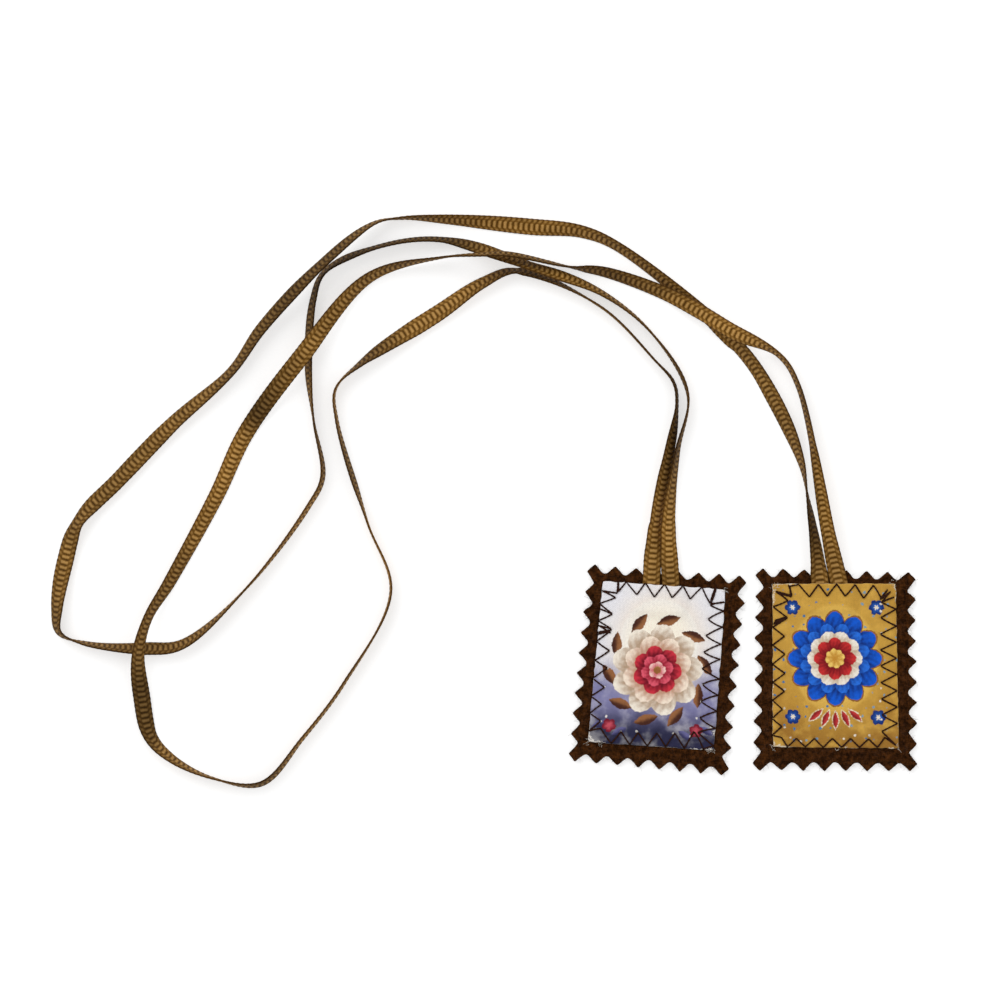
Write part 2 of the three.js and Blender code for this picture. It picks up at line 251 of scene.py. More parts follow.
class Tree:
    """A shader node tree with short calls for the nodes that the cloth finishes use."""

    def __init__(self, tree: bpy.types.NodeTree) -> None:
        """Keeps the tree that the nodes go into."""
        self.tree = tree

    def node(self, kind: str, **settings: object) -> bpy.types.Node:
        """Adds a node of a kind, with its settings."""
        made = self.tree.nodes.new(kind)
        for key, value in settings.items():
            setattr(made, key, value)
        return made

    def feed(self, socket: bpy.types.NodeSocket, value: object) -> None:
        """Links a socket to another, or sets its own value."""
        if isinstance(value, bpy.types.NodeSocket):
            self.tree.links.new(value, socket)
        else:
            socket.default_value = value

    def math(self, operation: str, first: object, second: object = 0.0) -> bpy.types.NodeSocket:
        """One arithmetic step on two numbers."""
        made = self.node("ShaderNodeMath", operation=operation)
        self.feed(made.inputs[0], first)
        self.feed(made.inputs[1], second)
        return made.outputs[0]

    def between(
        self,
        value: object,
        low: float,
        high: float,
        start: float = 0.0,
        end: float = 1.0,
        way: str = "SMOOTHSTEP",
    ) -> bpy.types.NodeSocket:
        """A step from start to end as a value goes from low to high, smooth unless its way says linear."""
        made = self.node("ShaderNodeMapRange", interpolation_type=way)
        for socket, given in zip(made.inputs, (value, low, high, start, end)):
            self.feed(socket, given)
        return made.outputs[0]

    def mix(self, share: object, first: object, second: object, blend: str = "MIX") -> bpy.types.NodeSocket:
        """Two colours mixed by a share."""
        made = self.node("ShaderNodeMix", data_type="RGBA", blend_type=blend)
        self.feed(made.inputs[0], share)
        self.feed(made.inputs[6], first)
        self.feed(made.inputs[7], second)
        return made.outputs[2]

    def noise(
        self, place: object, scale: float, detail: float = 3.0, rough: float = 0.55
    ) -> bpy.types.NodeSocket:
        """Fractal noise of about 0 to 1 at a place."""
        made = self.node("ShaderNodeTexNoise")
        self.feed(made.inputs["Vector"], place)
        made.inputs["Scale"].default_value = scale
        made.inputs["Detail"].default_value = detail
        made.inputs["Roughness"].default_value = rough
        return made.outputs["Fac"]

    def stretched(self, place: object, scale: tuple[float, float, float]) -> bpy.types.NodeSocket:
        """A place scaled by its own amount along each axis."""
        made = self.node("ShaderNodeMapping")
        self.feed(made.inputs["Vector"], place)
        made.inputs["Scale"].default_value = scale
        return made.outputs[0]

    def field(self, name: str) -> bpy.types.NodeSocket:
        """A number that the mesh carries on its vertices."""
        return self.node("ShaderNodeAttribute", attribute_name=name).outputs["Fac"]

    def axes(self, place: object) -> bpy.types.NodeOutputs:
        """The X, Y and Z of a place."""
        made = self.node("ShaderNodeSeparateXYZ")
        self.feed(made.inputs[0], place)
        return made.outputs

    def swing(self, value: object, middle: float, size: object) -> bpy.types.NodeSocket:
        """How far a value is over a middle one, times a size."""
        return self.math("MULTIPLY", self.math("SUBTRACT", value, middle), size)

    def apart(self, value: object, middle: float) -> bpy.types.NodeSocket:
        """How far a value is from a middle one, either way."""
        return self.math("ABSOLUTE", self.math("SUBTRACT", value, middle))

    def shaded(self, colour: object, shade: object) -> bpy.types.NodeSocket:
        """A colour made lighter or darker by a factor."""
        grey = self.node("ShaderNodeCombineColor")
        for socket in grey.inputs:
            self.feed(socket, shade)
        return self.mix(1.0, colour, grey.outputs[0], "MULTIPLY")

    def bump(self, height: object, distance: float, strength: float) -> bpy.types.NodeSocket:
        """A surface normal bent by a height."""
        made = self.node("ShaderNodeBump")
        made.inputs["Strength"].default_value = strength
        made.inputs["Distance"].default_value = distance
        self.feed(made.inputs["Height"], height)
        return made.outputs[0]

    def group(self, group: bpy.types.NodeTree, **given: object) -> bpy.types.NodeOutputs:
        """A shared effect placed in this tree, with its inputs given by name and underscores for spaces."""
        made = self.node("ShaderNodeGroup", node_tree=group)
        for name, value in given.items():
            self.feed(made.inputs[name.replace("_", " ")], value)
        return made.outputs


def shared_group(
    name: str, inputs: dict[str, str], outputs: dict[str, str]
) -> tuple[Tree, bpy.types.NodeOutputs, bpy.types.NodeInputs, bpy.types.NodeTree]:
    """Starts a shared effect with named sockets.

    Args:
        name: The group's name.
        inputs: Socket type of each input by name.
        outputs: Socket type of each output by name.

    Returns:
        The group's tree, the sockets that its inputs come from, those that its outputs go to, and the group.
    """
    group = bpy.data.node_groups.new(name, "ShaderNodeTree")
    for socket, kind in inputs.items():
        group.interface.new_socket(socket, in_out="INPUT", socket_type=kind)
    for socket, kind in outputs.items():
        group.interface.new_socket(socket, in_out="OUTPUT", socket_type=kind)
    tree = Tree(group)
    given = tree.node("NodeGroupInput").outputs
    made = tree.node("NodeGroupOutput").inputs
    return tree, given, made, group


VECTOR, FLOAT = "NodeSocketVector", "NodeSocketFloat"


def fibre_mottle() -> bpy.types.NodeTree:
    """Matted wool: cloudy patches of two scales crossed by short fine fibres.

    Returns:
        A group from a place to a mottle of 0 to 1 and a height.
    """
    tree, given, made, group = shared_group(
        "Fibre mottle", {"Place": VECTOR}, {"Mottle": FLOAT, "Height": FLOAT}
    )
    place = given["Place"]
    clouds = tree.noise(place, 640, 5, 0.7)
    lumps = tree.noise(place, 1500, 3, 0.6)
    strands = tree.noise(tree.stretched(place, (900, 5200, 900)), 1.0, 3, 0.6)
    crossed = tree.noise(tree.stretched(place, (5200, 900, 900)), 1.0, 3, 0.6)
    fibres = tree.math("MAXIMUM", strands, crossed)
    mottle = tree.math("ADD", tree.math("MULTIPLY", clouds, 0.6), tree.math("MULTIPLY", fibres, 0.4))
    height = tree.math("ADD", tree.math("MULTIPLY", lumps, 0.6), tree.math("MULTIPLY", fibres, 0.4))
    tree.feed(made["Mottle"], tree.between(mottle, 0.4, 0.68))
    tree.feed(made["Height"], height)
    return group


def plain_weave() -> bpy.types.NodeTree:
    """A fine plain weave: warp and weft bumps that pass over each other in turn, with uneven yarns.

    Returns:
        A group from a cloth place in threads to a height and a tint about 1.
    """
    tree, given, made, group = shared_group(
        "Plain weave", {"Threads": VECTOR}, {"Height": FLOAT, "Tint": FLOAT}
    )
    x, y, _ = tree.axes(given["Threads"])
    warp = tree.math("ABSOLUTE", tree.math("SINE", tree.math("MULTIPLY", x, math.pi)))
    weft = tree.math("ABSOLUTE", tree.math("SINE", tree.math("MULTIPLY", y, math.pi)))
    which = tree.math("SINE", tree.math("MULTIPLY", tree.math("ADD", x, y), math.pi))
    over = tree.between(which, -0.3, 0.3)
    height = tree.math(
        "ADD",
        tree.math("MULTIPLY", warp, over),
        tree.math("MULTIPLY", weft, tree.math("SUBTRACT", 1.0, over)),
    )
    slub = tree.noise(tree.stretched(given["Threads"], (0.9, 0.12, 1.0)), 1.0, 2, 0.5)
    tree.feed(made["Height"], height)
    tint = tree.math("ADD", tree.math("MULTIPLY", height, 0.14), tree.math("MULTIPLY", slub, 0.16))
    tree.feed(made["Tint"], tree.math("ADD", tint, 0.84))
    return group


def worn_edge() -> bpy.types.NodeTree:
    """Wear that starts at a cut edge and breaks up inwards.

    Returns:
        A group from a place, a distance from the edge and a reach, both in millimetres, to a mask.
    """
    tree, given, made, group = shared_group(
        "Worn edge", {"Place": VECTOR, "Distance": FLOAT, "Reach": FLOAT}, {"Mask": FLOAT}
    )
    ragged = tree.noise(given["Place"], 1900, 4, 0.7)
    blotch = tree.noise(given["Place"], 260, 2, 0.5)
    reach = tree.math("MULTIPLY", given["Reach"], tree.between(blotch, 0.42, 0.62))
    bite = tree.math("MULTIPLY", tree.between(ragged, 0.38, 0.62), reach)
    gap = tree.math("SUBTRACT", bite, given["Distance"])
    tree.feed(made["Mask"], tree.between(gap, -0.08, 0.12))
    return group


@dataclass(frozen=True)
class Effects:
    """The shared shader effects, each built once."""

    fibre: bpy.types.NodeTree
    weave: bpy.types.NodeTree
    wear: bpy.types.NodeTree

    @classmethod
    def build(cls) -> "Effects":
        """Builds the three groups."""
        return cls(fibre_mottle(), plain_weave(), worn_edge())


def start_material(name: str) -> tuple[bpy.types.Material, Tree, bpy.types.NodeInputs]:
    """A new node material with its Principled shader.

    Args:
        name: The material's name.

    Returns:
        The material, its tree and the shader's inputs.
    """
    material = bpy.data.materials.new(name)
    material.use_nodes = True
    shader = material.node_tree.nodes["Principled BSDF"]
    return material, Tree(material.node_tree), shader.inputs


@dataclass(frozen=True)
class WoolFinish:
    """Brown wool felt, or its loose fibres, in two tones."""

    name: str
    dark: Tone = tone(24, 10, 2)
    light: Tone = tone(84, 47, 18)
    depth: float = 0.26 * MM

    def build(self, effects: Effects) -> bpy.types.Material:
        """Builds the material: mottled colour, fibrous bump and a soft nap sheen."""
        material, tree, shader = start_material(self.name)
        place = tree.node("ShaderNodeTexCoord").outputs["Object"]
        wool = tree.group(effects.fibre, Place=place)
        tree.feed(shader["Base Color"], tree.mix(wool["Mottle"], self.dark, self.light))
        tree.feed(shader["Normal"], tree.bump(wool["Height"], self.depth, 0.8))
        shader["Roughness"].default_value = 0.95
        shader["Sheen Weight"].default_value = 0.06
        shader["Sheen Roughness"].default_value = 0.6
        shader["Sheen Tint"].default_value = tone(140, 84, 46)
        shader["Specular IOR Level"].default_value = 0.04
        return material


@dataclass(frozen=True)
class GrosgrainFinish:
    """Bronze-brown grosgrain with darker selvedges and fine warp yarns; its ribs are drawn in colour, with
    painted highlight on the light crests and painted shade in the dark grooves.
    """

    name: str = "grosgrain"
    groove_shade: Tone = tone(78, 50, 10)
    body: Tone = tone(130, 91, 34)
    crest_highlight: Tone = tone(194, 150, 86)
    selvedge: Tone = tone(74, 44, 6)
    rib_power: float = 0.58
    joint_at: float = 0.55
    joint_seen: float = 0.3
    seam_at: float = 0.52
    seam_depth: float = 0.16
    bump_height: float = 0.09 * MM

    def rib(self, tree: Tree, cloth: object, along: object, half: object) -> bpy.types.NodeSocket:
        """Rib height about 0.5: a raised cosine that fades where the middle bars meet the side ones.

        Args:
            tree: The material's tree.
            cloth: Cloth coordinates.
            along: Ribs counted along the ribbon.
            half: Half widths from the middle.

        Returns:
            The height, lowered along the two seams beside the middle bars.
        """
        lag = tree.between(half, Grosgrain.BEND_START, Grosgrain.BEND_END, 0.0, Grosgrain.BEND_LAG, "LINEAR")
        wobble = tree.noise(tree.stretched(cloth, (0.8, 1.2, 1.0)), 1.0, 2, 0.5)
        phase = tree.math("ADD", tree.math("ADD", along, lag), tree.swing(wobble, 0.5, 0.22))
        cosine = tree.math("COSINE", tree.math("MULTIPLY", phase, 2 * math.pi))
        wave = tree.math("ADD", tree.math("MULTIPLY", cosine, 0.5), 0.5)
        rib = tree.math("POWER", tree.math("MAXIMUM", wave, 0.0), self.rib_power)
        sides = tree.between(half, 0.45, 0.75, 1.0, 0.85)
        joint = tree.between(tree.apart(half, self.joint_at), 0.02, 0.17, self.joint_seen, 1.0)
        rib = tree.math("ADD", tree.swing(rib, 0.55, tree.math("MULTIPLY", sides, joint)), 0.5)
        seam = tree.between(tree.apart(half, self.seam_at), 0.0, 0.14, self.seam_depth, 0.0)
        return tree.math("SUBTRACT", rib, seam)

    def build(self) -> bpy.types.Material:
        """Builds the material from cloth coordinates: ribs counted along U and half widths along V."""
        material, tree, shader = start_material(self.name)
        cloth = tree.node("ShaderNodeUVMap", uv_map="cloth").outputs["UV"]
        along, across, _ = tree.axes(cloth)
        half = tree.math("ABSOLUTE", across)
        rib = self.rib(tree, cloth, along, half)
        yarns = tree.noise(tree.stretched(cloth, (1.3, 13.0, 1.0)), 1.0, 3, 0.6)
        uneven = tree.noise(tree.stretched(cloth, (1.1, 1.8, 1.0)), 1.0, 2, 0.5)
        faded = tree.noise(tree.stretched(cloth, (0.13, 0.5, 1.0)), 1.0, 2, 0.5)
        # The rib height, with yarns and unevenness, becomes painted shade in the grooves and seams and
        # painted highlight on the crests.
        lit = tree.math("ADD", rib, tree.swing(yarns, 0.5, 0.45))
        lit = tree.math("ADD", lit, tree.swing(uneven, 0.5, 0.6))
        colour = tree.mix(tree.between(lit, -0.1, 0.45), self.groove_shade, self.body)
        # Painted highlight on the crests, strongest on the middle bars.
        crest_highlight = tree.math("MULTIPLY", tree.between(lit, 0.4, 1.0), tree.between(half, 0.34, 0.6, 1.0, 0.62))
        colour = tree.mix(crest_highlight, colour, self.crest_highlight)
        colour = tree.mix(tree.between(half, 0.86, 0.99, 0.0, 0.8), colour, self.selvedge)
        # The shade factor is random fading times the painted light and shade marked along the ribbon.
        shade = tree.math("MULTIPLY", tree.between(faded, 0.3, 0.7, 0.86, 1.12), tree.field("age"))
        tree.feed(shader["Base Color"], tree.shaded(colour, shade))
        height = tree.math("ADD", rib, tree.math("MULTIPLY", yarns, 0.35))
        tree.feed(shader["Normal"], tree.bump(height, self.bump_height, 0.8))
        shader["Roughness"].default_value = 0.7
        shader["Specular IOR Level"].default_value = 0.08
        return material


@dataclass(frozen=True)
class ThreadFinish:
    """Twisted sewing thread or a loose yarn end."""

    name: str
    dark: Tone
    light: Tone
    roughness: float = 0.6

    def build(self) -> bpy.types.Material:
        """Builds the material: two tones broken up along the thread."""
        material, tree, shader = start_material(self.name)
        place = tree.node("ShaderNodeTexCoord").outputs["Object"]
        strands = tree.noise(place, 6000, 3, 0.6)
        tree.feed(shader["Base Color"], tree.mix(tree.between(strands, 0.4, 0.65), self.dark, self.light))
        tree.feed(shader["Normal"], tree.bump(strands, 0.03 * MM, 0.6))
        shader["Roughness"].default_value = self.roughness
        # Painted light and shade at places along a ribbon, a factor on its colour: pixel and share.
        shader["Specular IOR Level"].default_value = 0.08
        return material


@dataclass(frozen=True)
class Layer:
    """One printed shape: where its field is over zero, two inks are mixed by its own shading field."""

    field: str
    deep: Tone
    bright: Tone
    shading: str
    soft: float = 0.12


@dataclass(frozen=True)
class PrintFinish:
    """Cloth printed with a ground that fades downwards and with shapes laid over it."""

    name: str
    ground_top: Tone
    ground_foot: Tone
    foot_edge: Tone
    blotch: Tone
    blotch_share: float
    layers: tuple[Layer, ...]
    wear: Tone = tone(226, 220, 212)
    threads_per_mm: float = 3.2
    brush_share: float = 0.9
    smear: float = 0.9

    def build(self, effects: Effects) -> bpy.types.Material:
        """Builds the material: ground, shapes, print grain, weave and worn edges."""
        material, tree, shader = start_material(self.name)
        cloth = tree.node("ShaderNodeUVMap", uv_map="cloth").outputs["UV"]
        cloudy = tree.noise(tree.stretched(cloth, (0.16, 0.16, 1.0)), 1.0, 3, 0.55)
        level = tree.math("ADD", tree.field("height"), tree.swing(cloudy, 0.5, 9.0))
        ground = tree.mix(tree.between(level, 6.0, -8.0), self.ground_top, self.ground_foot)
        ground = tree.mix(tree.between(level, -9.0, -19.0), ground, self.foot_edge)
        colour = tree.mix(tree.between(cloudy, 0.45, 0.72, 0.0, self.blotch_share), ground, self.blotch)
        brush = tree.noise(tree.stretched(cloth, (0.7, 0.7, 1.0)), 1.0, 4, 0.65)
        strokes = tree.swing(brush, 0.5, self.brush_share)
        wobble = tree.noise(tree.stretched(cloth, (1.5, 1.5, 1.0)), 1.0, 3, 0.6)
        smear = tree.swing(wobble, 0.5, self.smear)
        for layer in self.layers:
            shade = tree.math("ADD", tree.field(layer.shading), strokes)
            ink = tree.mix(tree.between(shade, 0.0, 1.0), layer.deep, layer.bright)
            inside = tree.math("ADD", tree.field(layer.field), smear)
            colour = tree.mix(tree.between(inside, -layer.soft, layer.soft), colour, ink)
        weave = tree.group(
            effects.weave, Threads=tree.stretched(cloth, (self.threads_per_mm, self.threads_per_mm, 1.0))
        )
        grain = tree.noise(tree.stretched(cloth, (2.4, 2.4, 1.0)), 1.0, 3, 0.7)
        speck = tree.math("MULTIPLY", weave["Tint"], tree.between(grain, 0.25, 0.75, 0.9, 1.1))
        colour = tree.shaded(colour, speck)
        place = tree.node("ShaderNodeTexCoord").outputs["Object"]
        worn = tree.group(effects.wear, Place=place, Distance=tree.field("edge"), Reach=tree.field("scuff"))
        tree.feed(shader["Base Color"], tree.mix(worn["Mask"], colour, self.wear))
        tree.feed(shader["Normal"], tree.bump(weave["Height"], 0.05 * MM, 0.55))
        shader["Roughness"].default_value = 0.78
        shader["Specular IOR Level"].default_value = 0.15
        return material


@dataclass(frozen=True)
class Cut:
    """A four-sided cut: centre in pixels, sizes in metres, angles in degrees clockwise.

    slant is how far the sides lean out of square, flare how much wider the foot is, and skew how much taller
    the right side is.
    """

    centre: Pixel
    width: float
    height: float
    turn: float
    slant: float
    flare: float
    skew: float

    def axes(self) -> tuple[Array, Array]:
        """Directions across the cut and up its sides."""
        turn, lean = math.radians(self.turn), math.radians(self.turn + self.slant)
        return np.array([math.cos(turn), -math.sin(turn)]), np.array([math.sin(lean), math.cos(lean)])

    def at(self, u: Array, v: Array) -> Array:
        """Points at u across and v up, from -1 to 1: the centre plus u and v half sizes along the axes."""
        across, up = self.axes()
        half_width = (self.width - self.flare * v / 2) / 2
        half_height = (self.height + self.skew * u / 2) / 2
        on_level = on_table(self.centre) + (half_width * u)[..., None] * across
        return on_level + (half_height * v)[..., None] * up

    def locate(self, points: Array) -> Array:
        """The u and v of points on the table, leaving the flare and skew out."""
        across, up = self.axes()
        ways = np.linalg.inv(np.stack([across * self.width / 2, up * self.height / 2], axis=1))
        return (points - on_table(self.centre)) @ ways.T


@dataclass(frozen=True)
class RouteRow:
    """One row of a ribbon's route: pixel, roll in degrees, and height of its lower edge in millimetres."""

    x: float
    y: float
    roll: float
    lift: float


def centripetal(rows: Array, per_span: int) -> Array:
    """A centripetal Catmull-Rom curve through rows of points.

    Each span is a cubic. Its end slopes come from its neighbours, weighted by the square roots of chords.

    Args:
        rows: Points that the curve goes through, as rows by 2.
        per_span: Number of points made in each span.

    Returns:
        Points of the curve, span by span, with the last row.
    """
    padded = np.vstack([2 * rows[0] - rows[1], rows, 2 * rows[-1] - rows[-2]])
    p0, p1, p2, p3 = padded[:-3, None], padded[1:-2, None], padded[2:-1, None], padded[3:, None]
    chords = (p1 - p0, p2 - p1, p3 - p2)
    d0, d1, d2 = (np.sqrt(np.linalg.norm(chord, axis=-1, keepdims=True)) for chord in chords)
    slope_from = ((p1 - p0) / d0 - (p2 - p0) / (d0 + d1) + (p2 - p1) / d1) * d1
    slope_to = ((p2 - p1) / d1 - (p3 - p1) / (d1 + d2) + (p3 - p2) / d2) * d1
    t = np.linspace(0, 1, per_span, endpoint=False)[None, :, None]
    square, cube = t**2, t**3
    spans = (2 * cube - 3 * square + 1) * p1 + (3 * square - 2 * cube) * p2
    spans = spans + (cube - 2 * square + t) * slope_from + (cube - square) * slope_to
    return np.vstack([spans.reshape(-1, 2), rows[-1]])


def level_blend(knots: Array, values: Array, position: Array) -> Array:
    """Values between knots by a cubic that never passes a knot's value.

    Its slope at a knot is the harmonic mean of the rates on either side, and level where they turn.

    Args:
        knots: Places of the values, rising.
        values: One value for each knot.
        position: Places to work the value out at.

    Returns:
        The value at each position.
    """
    spans = np.diff(knots)
    rates = np.diff(values) / spans
    before, after = rates[:-1], rates[1:]
    same_way = before * after > 0
    inner = np.where(same_way, 2 * before * after / np.where(same_way, before + after, 1.0), 0.0)
    slopes = np.concatenate([[0.0], inner, [0.0]])
    span = np.clip(np.searchsorted(knots, position, side="right") - 1, 0, len(knots) - 2)
    t = (position - knots[span]) / spans[span]
    square, cube = t**2, t**3
    middle = (2 * cube - 3 * square + 1) * values[span] + (3 * square - 2 * cube) * values[span + 1]
    lean = (cube - 2 * square + t) * slopes[span] + (cube - square) * slopes[span + 1]
    return middle + lean * spans[span]


@dataclass
class Grosgrain:
    """One grosgrain ribbon, swept along its route and rolled about it, with its ribs raised on both faces."""

    name: str
    node: str
    route: tuple[RouteRow, ...]
    twists: tuple[Mark, ...]
    ages: tuple[Mark, ...]
    rib_way: float
    width: float = 4.66 * MM
    thickness: float = 0.46 * MM
    tuck: float = 5.5 * MM
    rib_pitch: float = 1.41 * MM
    rib_height: float = 0.1 * MM
    rings_per_rib: int = 6
    points_across: int = 13
    edge_thinning: float = 0.55
    rib_thinning: float = 0.5
    scallop: float = 0.02
    # A rib bends back between these shares of the half width, by this share of a rib.
    BEND_START = 0.38
    BEND_END = 0.78
    BEND_LAG = 0.6

    def line(self) -> tuple[Array, Array, Array]:
        """The centre line's plan at even steps.

        Returns:
            Points on the table, the row position of each, and the distance run at each.
        """
        rows = on_table(np.array([(row.x, row.y) for row in self.route]))
        first = rows[0] + self.tuck * (rows[0] - rows[1]) / np.linalg.norm(rows[0] - rows[1])
        last = rows[-1] + self.tuck * (rows[-1] - rows[-2]) / np.linalg.norm(rows[-1] - rows[-2])
        rows = np.vstack([first, rows, last])
        per_span = 48
        dense = centripetal(rows, per_span)
        position = np.arange(len(dense)) / per_span
        run = np.concatenate([[0], np.cumsum(np.linalg.norm(np.diff(dense, axis=0), axis=1))])
        steps = int(round(run[-1] / self.rib_pitch * self.rings_per_rib))
        even = np.linspace(0, run[-1], steps + 1)
        plan = np.stack([np.interp(even, run, dense[:, axis]) for axis in (0, 1)], axis=1)
        return plan, np.interp(even, run, position), even

    def nearest(self, plan: Array, marks: tuple[Mark, ...]) -> Array:
        """The step of the line that is nearest to each marked pixel."""
        places = on_table(np.array([mark[:2] for mark in marks], float))
        return np.argmin(np.linalg.norm(plan[:, None] - places[None], axis=-1), axis=0)

    def frame_along(self) -> tuple[Array, Array, Array, Array]:
        """The centre line in space, with the directions to the ribbon's edge and face.

        Returns:
            Centre points, edge directions, face directions and the distance run at each.
        """
        plan, position, run = self.line()
        rows = [self.route[0], *self.route, self.route[-1]]
        numbers = np.arange(len(rows), dtype=float)
        spots = self.nearest(plan, self.twists)
        knots = np.concatenate([numbers, position[spots]])
        rolls = np.array([row.roll for row in rows] + [twist[2] for twist in self.twists], float)
        order = np.argsort(knots)
        roll = np.radians(level_blend(knots[order], rolls[order], position))
        lift = level_blend(numbers, np.array([row.lift for row in rows], float), position) * MM
        along = np.gradient(plan, axis=0)
        along /= np.linalg.norm(along, axis=1, keepdims=True)
        side = np.stack([-along[:, 1], along[:, 0], np.zeros(len(plan))], axis=1)
        up = np.array([0.0, 0.0, 1.0])
        to_edge = side * np.cos(roll)[:, None] + up * np.sin(roll)[:, None]
        to_face = -side * np.sin(roll)[:, None] + up * np.cos(roll)[:, None]
        ribbed = self.thickness + 2 * self.rib_height
        height = lift + (self.width * np.abs(to_edge[:, 2]) + ribbed * np.abs(to_face[:, 2])) / 2
        return np.column_stack([plan, height]), to_edge, to_face, run

    def ribs(self, turns: Array, across: Array) -> Array:
        """Rib height of 0 to 1: a raised cosine along the ribbon, which lags evenly over each bend."""
        bend = np.clip((np.abs(across) - self.BEND_START) / (self.BEND_END - self.BEND_START), 0, 1)
        lag = self.BEND_LAG * bend
        return 0.5 + 0.5 * np.cos(2 * math.pi * (turns + lag))

    def painted_light_along(self, plan: Array, run: Array) -> Array:
        """Painted light and shade along the ribbon, a factor on its colour, blended between marked places."""
        spots = run[self.nearest(plan, self.ages)]
        order = np.argsort(spots)
        values = np.array([age[2] for age in self.ages], float)
        return level_blend(spots[order], values[order], np.clip(run, spots.min(), spots.max()))

    def build(self, finish: bpy.types.Material) -> bpy.types.Object:
        """Sweeps the section: half the thickness, thinned towards the selvedges, plus the ribs, on each face.

        Args:
            finish: The grosgrain material.

        Returns:
            The ribbon, which stands in place of its solid, now hidden.
        """
        centre, to_edge, to_face, run = self.frame_along()
        half = np.linspace(-1, 1, self.points_across)
        across = np.concatenate([half, half[::-1]])
        facing = np.concatenate([-np.ones(self.points_across), np.ones(self.points_across)])
        turns, wide = self.rib_way * run[:, None] / self.rib_pitch, across[None, :]
        body = self.thickness / 2 * np.sqrt(1 - self.edge_thinning * np.abs(wide) ** 6)
        ribs = self.ribs(turns, wide)
        out = facing * (body + self.rib_height * ribs * (1 - self.rib_thinning * np.abs(wide) ** 8))
        reach = self.width / 2 * wide * (1 + self.scallop * np.cos(2 * math.pi * turns) * np.abs(wide))
        points = centre[:, None] + reach[..., None] * to_edge[:, None] + out[..., None] * to_face[:, None]
        count = len(across)
        quads = grid_quads(len(centre), count, closed=True)
        ends = [ring_cap(0, count, flip=True), ring_cap((len(centre) - 1) * count, count, flip=False)]
        uv = np.stack(np.broadcast_arrays(turns, wide), axis=-1).reshape(-1, 2)
        fields = {"age": np.repeat(self.painted_light_along(centre[:, :2], run), count)}
        quads = np.vstack([quads, *ends])
        piece = cloth_piece(self.name, points.reshape(-1, 3), quads, finish, uv, fields)
        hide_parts(self.node)
        return piece


